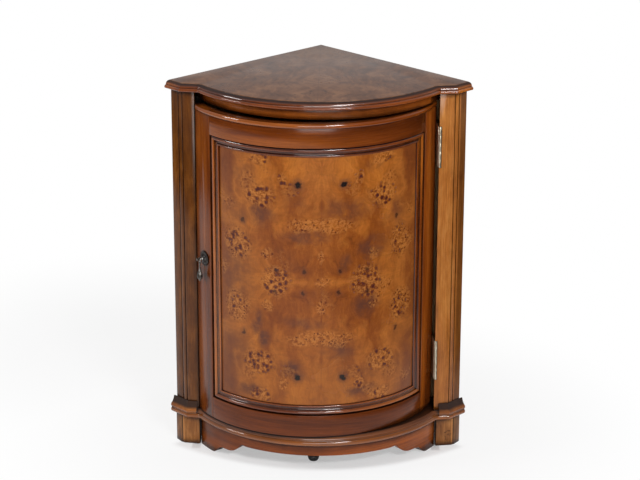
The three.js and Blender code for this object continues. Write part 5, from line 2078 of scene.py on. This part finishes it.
@dataclass(frozen=True)
class Hinge:
    """A butt hinge: five knuckles on a pin, two countersunk leaves and their slotted screws."""

    place: HingePlace
    length: float = 0.085
    knuckles: int = 5
    gap: float = 0.0003
    barrel: float = 0.0028
    pin: float = 0.0014
    leaf: float = 0.0015
    margin: float = 0.0031
    frame_depth: float = 0.036
    door_depth: float = 0.064
    frame_screws: float = 0.022
    door_screws: float = 0.044
    spread: float = 0.026
    head: float = 0.0030
    easing: float = 0.0003
    slot: Triple = (0.0006, 0.004, 0.00035)
    screw_line: tuple[Point, ...] = (
        (0.0, 0.0), (0.0029, 0.0), (0.0030, 0.0001), (0.0012, 0.0014), (0.0011, 0.011), (0.0, 0.012),
    )

    @property
    def name(self) -> str:
        """The start of the names of its pieces."""
        return f"hinge_{self.place.name.lower()}"

    @property
    def level(self) -> float:
        """The height of its middle."""
        return self.place.value

    @property
    def frame_face(self) -> float:
        """The frame leaf's nearer face."""
        return PLAN.hinge_opening + PLAN.fit / 2.0

    @property
    def door_face(self) -> float:
        """The door leaf's nearer face."""
        return PLAN.hinge_edge + PLAN.fit

    def seats(self) -> list[Bench]:
        """Tools that cut the hinge's seat in the pilaster.

        Returns:
            The pin's bore and the leaf's seat.
        """
        pin = PLAN.pin
        half = self.length / 2.0 + self.pin
        low, high = self.level - half, self.level + half
        foot = Vector((pin.x, pin.y, low))
        bore = round_bar("seat_bore", foot, self.barrel + 2.0 * PLAN.fit, high - low)
        face = PLAN.hinge_opening
        depth = self.leaf + 2.0 * PLAN.fit
        far = pin.y + self.frame_depth + PLAN.fit
        box = block("seat", Vector((face - 0.001, pin.y, low)), Vector((face + depth, far, high)))
        return [bore, box]

    def _knuckle(self, face: float, start: float, end: float) -> tuple[Bench, Bench]:
        """A knuckle with its bore, and the strip that joins it to its leaf.

        Args:
            face: The leaf's nearer face.
            start: Its lower end.
            end: Its upper end.

        Returns:
            The two pieces.
        """
        pin = PLAN.pin
        foot = Vector((pin.x, pin.y, start))
        barrel = round_bar("barrel", foot, self.barrel, end - start)
        bore = round_bar("bore", foot - UP * 0.001, self.pin + 0.0002, end - start + 0.002)
        barrel.hollow(bore).ease(self.easing, above=PLAIN_EDGE)
        low = Vector((face, pin.y + self.pin + 0.0004, start))
        high = Vector((face + self.leaf, pin.y + self.margin + 0.001, end))
        return barrel, block("link", low, high)

    def _leaf(self, name: str, door: bool) -> Bench:
        """A leaf with its knuckles and countersinks.

        Args:
            name: The leaf's name.
            door: True for the door's leaf.

        Returns:
            The leaf on the bench.
        """
        face = self.door_face if door else self.frame_face
        depth = self.door_depth if door else self.frame_depth
        half = self.length / 2.0
        low = Vector((face, PLAN.pin.y + self.margin, self.level - half))
        high = Vector((face + self.leaf, PLAN.pin.y + depth, self.level + half))
        sinks = [self._countersink(door, lift) for lift in (-self.spread, self.spread)]
        plate = block(name, low, high).hollow(*sinks).ease(self.easing, above=PLAIN_EDGE)
        pitch = self.length / self.knuckles
        parts = []
        for index in range(1 if door else 0, self.knuckles, 2):
            below = self.gap / 2.0 if index else 0.0
            above = self.gap / 2.0 if index < self.knuckles - 1 else 0.0
            start = self.level - half + index * pitch + below
            end = self.level - half + (index + 1) * pitch - above
            parts.extend(self._knuckle(face, start, end))
        return plate.unite(*parts)

    def _screw_foot(self, door: bool, lift: float, depth: float) -> Vector:
        """A point on a screw's axis, at a depth under the face of its leaf.

        Args:
            door: True for the door's leaf.
            lift: Height from the hinge's middle.
            depth: The depth.

        Returns:
            The point.
        """
        face = self.door_face + self.leaf - depth if door else self.frame_face + depth
        setback = self.door_screws if door else self.frame_screws
        return Vector((face, PLAN.pin.y + setback, self.level + lift))

    def _turned(self, name: str, door: bool, foot: Vector, line: Sequence[Point]) -> Bench:
        """A piece turned about a screw's axis.

        Args:
            name: The piece's name.
            door: True for the door's leaf.
            foot: Start of the axis.
            line: Radius, and distance into the wood.

        Returns:
            The piece on the bench.
        """
        way = -1.0 if door else 1.0
        points = [foot + Vector((way * along, radius, 0.0)) for radius, along in line]
        return Bench(name, points, closed=False).revolve(foot, RIGHT, 28)

    def _countersink(self, door: bool, lift: float) -> Bench:
        """The cone that sinks a screw's head into a leaf."""
        rim = (self.head + 0.0002, 0.0)
        line = [(0.0, 0.0), rim, (0.0013, 0.0016), (0.0013, 0.003), (0.0, 0.003)]
        return self._turned("sink", door, self._screw_foot(door, lift, -0.0001), line)

    def _screw(self, name: str, door: bool, lift: float) -> Bench:
        """A countersunk screw with a slot.

        Args:
            name: The screw's name.
            door: True for the door's leaf.
            lift: Height from the hinge's middle.

        Returns:
            The screw on the bench.
        """
        foot = self._screw_foot(door, lift, 0.00005)
        slot = Vector(self.slot)
        bench = self._turned(name, door, foot, self.screw_line)
        return bench.hollow(block("slot", foot - slot, foot + slot))

    def build(self, finishes: Finishes) -> None:
        """Builds and dresses the hinge.

        Args:
            finishes: All finishes.
        """
        frame_leaf = self._leaf(f"{self.name}_frame_leaf", False)
        frame_leaf.smooth(Crease.PLAIN).done(finishes.brass, Body.CARCASE)
        self._leaf(f"{self.name}_door_leaf", True).smooth(Crease.PLAIN).hang(finishes.brass)
        foot = PLAN.pin + UP * (self.level - self.length / 2.0 - self.pin / 2.0)
        bar = round_bar(f"{self.name}_pin", foot, self.pin, self.length + self.pin)
        bar.ease(0.0005, 3, PLAIN_EDGE).smooth(Crease.PLAIN).done(finishes.brass, Body.CARCASE)
        for index, lift in enumerate((-self.spread, self.spread), 1):
            screw = self._screw(f"{self.name}_frame_screw_{index}", False, lift)
            screw.smooth(Crease.PLAIN).done(finishes.steel, Body.CARCASE)
            screw = self._screw(f"{self.name}_door_screw_{index}", True, lift)
            screw.smooth(Crease.PLAIN).hang(finishes.steel)


# Drop pull


@dataclass(frozen=True)
class DropPull:
    """A scalloped rosette, a post with a ball end and a pendant drop on a ring."""

    turn: float = -61.5
    level: float = 0.432
    thickness: float = 0.005
    post: float = 0.0022
    post_end: float = -0.0235
    reach: float = 0.0125
    lobes: int = 18
    ball: float = 0.0033
    ring: float = 0.0033
    wire: float = 0.001
    drop_radius: float = 0.006
    drop_length: float = 0.048
    nut_at: float = 0.0228
    nut_line: tuple[Point, ...] = (
        (0.0025, 0.0), (0.0057, 0.0), (0.006, 0.0004), (0.006, 0.0031), (0.0057, 0.0035),
        (0.0025, 0.0035), (0.0025, 0.0),
    )
    drop_line: tuple[Point, ...] = (
        (0.0, 0.07), (0.26, 0.072), (0.38, 0.1), (0.44, 0.135), (0.36, 0.17), (0.3, 0.2),
        (0.28, 0.25), (0.32, 0.34), (0.44, 0.46), (0.56, 0.53), (0.7, 0.6), (0.86, 0.655),
        (0.96, 0.7), (1.0, 0.75), (0.97, 0.8), (0.86, 0.845), (0.68, 0.885), (0.42, 0.915),
        (0.3, 0.93), (0.34, 0.95), (0.28, 0.97), (0.16, 0.99), (0.0, 1.0),
    )

    @property
    def across(self) -> Vector:
        """The way along the door's face, left to right."""
        return Vector((math.cos(math.radians(self.turn)), math.sin(math.radians(self.turn)), 0.0))

    @property
    def foot(self) -> Vector:
        """Where the post's line meets the face of the shut door."""
        return PLAN.on_bow(PLAN.frieze_radius, self.turn, self.level)

    @property
    def place(self) -> Matrix:
        """Takes the pull's own axes (right, out, up) to the door's face."""
        out = PLAN.out_at(self.turn)
        rows = [[self.across[i], out[i], UP[i], self.foot[i]] for i in range(3)]
        return PLAN.door_turn @ Matrix((*rows, (0.0, 0.0, 0.0, 1.0)))

    def hole(self) -> Bench:
        """The tool that drills the post's hole in the shut door."""
        out = PLAN.out_at(self.turn)
        ring = circle(self.foot + out * 0.002, self.across, UP, self.post + PLAN.fit, 24)
        return Bench("post_hole", ring).extrude(out * -0.024)

    def _turned(self, name: str, line: Sequence[Point], steps: int = 48) -> Bench:
        """A piece turned about the post's line: radius, and distance out of the door."""
        points = [Vector((radius, out, 0.0)) for radius, out in line]
        return Bench(name, points, closed=False).revolve(Vector(), BACKWARDS, steps)

    def _lobed(self, place: Vector) -> Vector:
        """Swells the rosette's rim into lobes and flutes its dish.

        Args:
            place: A corner of the rosette.

        Returns:
            Its new place.
        """
        radius = math.hypot(place.x, place.z)
        if radius < 0.004:
            return place
        wave = abs(math.sin(math.atan2(place.z, place.x) * self.lobes / 2.0))
        outer = max(0.0, min(1.0, (radius - 0.0108) / 0.002))
        scale = 1.0 - 0.075 * outer * (1.0 - wave)
        rise = 1.0 - 0.45 * outer * (1.0 - wave) if place.y > 0.0006 else 1.0
        return Vector((place.x * scale, place.y * rise, place.z * scale))

    def _rosette(self) -> Bench:
        """The rosette with its lobed rim, a fitting gap out from the door.

        Returns:
            The rosette on the bench.
        """
        bore = self.post + PLAN.fit
        rim = arc_points((0.0138, 0.0011), (0.0017, 0.0012), -90.0, 120.0, 10)
        rim = [(radius, max(rise, 0.0)) for radius, rise in rim]
        dish = [(0.0123, 0.0016), (0.0105, 0.0018), (0.0090, 0.0025)]
        dome = arc_points((bore, 0.0016), (0.0062, 0.0034), 8.0, 88.0, 8)
        line = [(bore, 0.0), *rim, *dish, *dome, (bore, self.thickness), (bore, 0.0)]
        bench = self._turned("pull_rosette", line, 144).move_points(self._lobed)
        return bench.turned(Matrix.Translation(BACKWARDS * PLAN.fit))

    def _drop(self) -> Bench:
        """The pendant and its ring.

        Returns:
            Both as one piece.
        """
        axis = BACKWARDS * self.reach
        line = [(share * self.drop_radius, -down * self.drop_length) for share, down in self.drop_line]
        points = [axis + Vector((radius, 0.0, level)) for radius, level in line]
        body = Bench("pull_drop", points, closed=False).revolve(axis, UP, 40)
        wire = circle(axis + RIGHT * self.ring, RIGHT, BACKWARDS, self.wire, 16)
        loop = Bench("ring", wire, closed=False, loop=True).revolve(axis, BACKWARDS, 40)
        return body.unite(loop)

    def _post(self) -> Bench:
        """The post from its nut to its ball.

        Returns:
            The post on the bench.
        """
        collar = self.thickness + 0.0006
        before, after = self.reach - 0.0013, self.reach + 0.0013
        ball = arc_points((0.0, after + self.ball), (self.ball, self.ball), -50.0, 90.0, 12)
        line = [
            (0.0, self.post_end), (0.0018, self.post_end), (self.post, self.post_end + 0.0004),
            (self.post, collar), (0.0034, collar), (0.0036, collar + 0.0004),
            (0.0034, collar + 0.0009), (0.0024, collar + 0.0014), (0.0021, collar + 0.0022),
            (0.0024, before - 0.0014), (0.0029, before - 0.0008), (0.0027, before - 0.0003),
            (0.0019, before), (0.0019, after), *[(max(radius, 0.0), out) for radius, out in ball],
        ]
        return self._turned("pull_post", line)

    def build(self, finishes: Finishes) -> None:
        """Builds and dresses the pull.

        Args:
            finishes: All finishes.
        """
        place = self.place
        rosette = self._rosette().turned(place).smooth(Crease.MOULDED)
        rosette.done(finishes.oxidised, Body.DOOR)
        self._post().turned(place).smooth(Crease.BOWED).done(finishes.antique, Body.DOOR)
        line = [(radius, out - self.nut_at) for radius, out in self.nut_line]
        nut = self._turned("pull_nut", line, 32)
        nut.turned(place).smooth(Crease.PLAIN).done(finishes.antique, Body.DOOR)
        self._drop().turned(place).smooth(Crease.BOWED).done(finishes.antique, Body.PULL)


# Studio


@dataclass(frozen=True)
class Softbox:
    """A rectangular lamp that looks at the cupboard."""

    name: str
    azimuth: float
    distance: float
    height: float
    size: Point
    power: float
    aim: float = 0.4

    def build(self) -> None:
        """Hangs the lamp."""
        turn = math.radians(self.azimuth)
        place = Vector((self.distance * math.sin(turn), -self.distance * math.cos(turn), self.height))
        bpy.ops.object.light_add(type="AREA", location=place)
        lamp = bpy.context.active_object
        lamp.name = self.name
        lamp.data.shape = "RECTANGLE"
        lamp.data.size, lamp.data.size_y = self.size
        lamp.data.energy = self.power
        way = UP * self.aim - place
        lamp.rotation_euler = way.to_track_quat("-Z", "Y").to_euler()


@dataclass(frozen=True)
class Studio:
    """Camera, pale floor and soft lamps, as in the photograph."""

    eye: Triple = (0.0677, -4.31415, 1.9113)
    focal: float = 2168.4
    picture_width: float = 640.0
    sensor: float = 36.0
    pitch: float = 18.932
    yaw: float = -0.867
    roll: float = -0.159
    ambient: float = 0.3
    backdrop: float = 0.55
    paper: float = 0.77
    shown: float = 0.82
    paper_middle: float = -1.05
    paper_end: float = 1.72
    paper_fade: float = 0.25
    lamps: tuple[Softbox, ...] = (
        Softbox("right_softbox", 20.0, 2.7, 1.8, (0.7, 0.3), 41.0),
        Softbox("left_softbox", -72.0, 2.4, 1.3, (0.7, 0.25), 17.0),
        Softbox("front_card", 4.0, 3.6, 0.8, (2.0, 0.9), 38.0),
        Softbox("overhead", 180.0, 0.2, 2.9, (1.2, 1.2), 12.0),
    )

    def _camera(self) -> None:
        """Places the camera."""
        pitch, yaw, roll = (math.radians(angle) for angle in (self.pitch, self.yaw, self.roll))
        level = math.cos(pitch)
        forward = Vector((math.sin(yaw) * level, math.cos(yaw) * level, -math.sin(pitch)))
        right = Vector((math.cos(yaw), -math.sin(yaw), 0.0))
        down = forward.cross(right)
        tilted = right * math.cos(roll) + down * math.sin(roll)
        low = down * math.cos(roll) - right * math.sin(roll)
        bpy.ops.object.camera_add(location=self.eye)
        camera = bpy.context.active_object
        camera.name = "camera"
        camera.data.sensor_width = self.sensor
        camera.data.lens = self.focal * self.sensor / self.picture_width
        camera.data.clip_end = 100.0
        camera.data.dof.use_dof = False
        turn = Matrix((tilted, -low, -forward)).transposed()
        camera.rotation_euler = turn.to_euler()
        bpy.context.scene.camera = camera

    def _world(self) -> None:
        """Soft even light; white where it is seen and where the backdrop is mirrored."""
        recipe = Surroundings("studio_light")
        seen, mirrored = recipe.rays()
        ahead = recipe.axes(recipe.add("ShaderNodeTexCoord").outputs["Generated"])[1]
        white = seen.most(mirrored * ahead.band(-0.15, 0.3) * self.backdrop)
        recipe.light(white * (1.0 - self.ambient) + self.ambient)

    def _under(self, x: Value, y: Value) -> Value:
        """One on the floor under the cupboard and 0 outside it."""
        behind = (abs(x) + y).band(PLAN.back - 0.01, PLAN.back - 0.04)
        return behind * (x * x * 1.3 - y).band(0.225, 0.2)

    def _shown(self, x: Value, y: Value, under: Value) -> Value:
        """How much of the paper's own white the camera gets; the rest is lit and shaded paper.

        Args:
            x: Place from left to right.
            y: Place from front to back.
            under: One under the cupboard.

        Returns:
            The share from 0 to 1.
        """
        out = (x * x + y * y).root()
        left, behind = x + 0.45, y - 0.45
        clear = out.band(0.36, 0.8).least((left * left + behind * behind).root().band(0.1, 0.75))
        white = clear * (1.0 - self.shown) + self.shown
        strips = abs(abs(x + 0.004) - 0.2538).band(0.010, 0.008)
        strips = strips * y.band(-0.112, -0.106) * y.band(0.06, 0.04)
        return white * (1.0 - under * 0.5) * (1.0 - strips * 0.95)

    def _paper(self) -> bpy.types.Material:
        """White paper that keeps a soft shadow, and mirrors as a sheet that ends in front.

        Returns:
            The material.
        """
        recipe = Recipe("paper")
        seen, mirrored = recipe.rays()
        x, y, _ = recipe.axes(recipe.place())
        sideways = x - self.paper_middle
        away = (sideways * sideways + y * y).root()
        near = away.band(self.paper_end + self.paper_fade, self.paper_end - self.paper_fade)
        fleck = recipe.noise(recipe.place(), 30.0, 3.0)
        tone = recipe.ramp(fleck, [(0.0, (0.9, 0.9, 0.905)), (1.0, (0.94, 0.94, 0.94))])
        tone = recipe.blend(mirrored * (1.0 - near), tone, (0.02, 0.02, 0.02))
        paper = recipe.add("ShaderNodeBsdfDiffuse", None, {"Color": tone})
        glow = recipe.add("ShaderNodeEmission", None, {"Color": (1.0, 1.0, 1.0), "Strength": 1.0})
        under = self._under(x, y)
        share = seen * self._shown(x, y, under) + mirrored * near * (1.0 - under) * self.paper
        inputs = {0: share, 1: paper.outputs[0], 2: glow.outputs[0]}
        mixed = recipe.add("ShaderNodeMixShader", None, inputs)
        output = recipe.add("ShaderNodeOutputMaterial")
        recipe.tree.links.new(mixed.outputs[0], output.inputs[0])
        return recipe.material

    def _floor(self) -> None:
        """Lays the paper."""
        bpy.ops.object.select_all(action="DESELECT")
        bpy.ops.mesh.primitive_plane_add(size=24.0, location=(0.0, 0.0, 0.0))
        floor = bpy.context.active_object
        floor.name = "paper_floor"
        floor.data.materials.append(self._paper())
        floor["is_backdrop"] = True

    def build(self) -> None:
        """Sets up the whole studio."""
        bpy.context.scene.view_settings.view_transform = "Standard"
        self._camera()
        self._world()
        self._floor()
        for lamp in self.lamps:
            lamp.build()
        log.info("studio: %d lamps", len(self.lamps))


def build_cupboard() -> None:
    """Builds and dresses every piece, and then the studio."""
    finishes = Finishes()
    latch = Pilaster(Side.LEFT, PLAN.latch_opening)
    hinge = Pilaster(Side.RIGHT, PLAN.hinge_opening)
    hinges = [Hinge(place) for place in HingePlace]
    pull = DropPull()
    boards = Boards()
    TopBoard().build(finishes)
    EdgeMoulding("top_moulding", top_section(), top_section(), PLAN.nominal_bow).build(finishes.edge)
    # The frieze takes the lighter walnut copy: painted light under the top moulding's shade.
    Frieze().build(finishes.apron)
    latch.build(finishes.latch_side, "latch_pilaster")
    seats = [seat for item in hinges for seat in item.seats()]
    hinge.build(finishes.hinge_side, "hinge_pilaster", seats)
    boards.build(finishes)
    sections = (plinth_section(), plinth_cove_section())
    EdgeMoulding("plinth_moulding", *sections, PLAN.apron_radius, 0.007).build(finishes.plinth)
    FootBlock(latch).build(finishes.foot, "foot_block_left")
    FootBlock(hinge).build(finishes.foot, "foot_block_right")
    Apron().build(finishes.apron)
    DoorFrame().build(finishes, pull.hole())
    DoorPanel().build(finishes)
    DoorBead().build(finishes.edge)
    boards.build_strike(finishes.steel)
    for item in hinges:
        item.build(finishes)
    pull.build(finishes)
    Studio().build()


def write_sizes() -> None:
    """Works out the boxes of the CAD model and of the dressed one."""
    boxes = {"cad": CAD_BOX, "visual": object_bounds()}
    boxes = {name: [list(corner) for corner in box] for name, box in boxes.items()}


if __name__ == "__main__":
    logging.basicConfig(level=logging.INFO, format="%(message)s")
    build_cupboard()
    write_sizes()
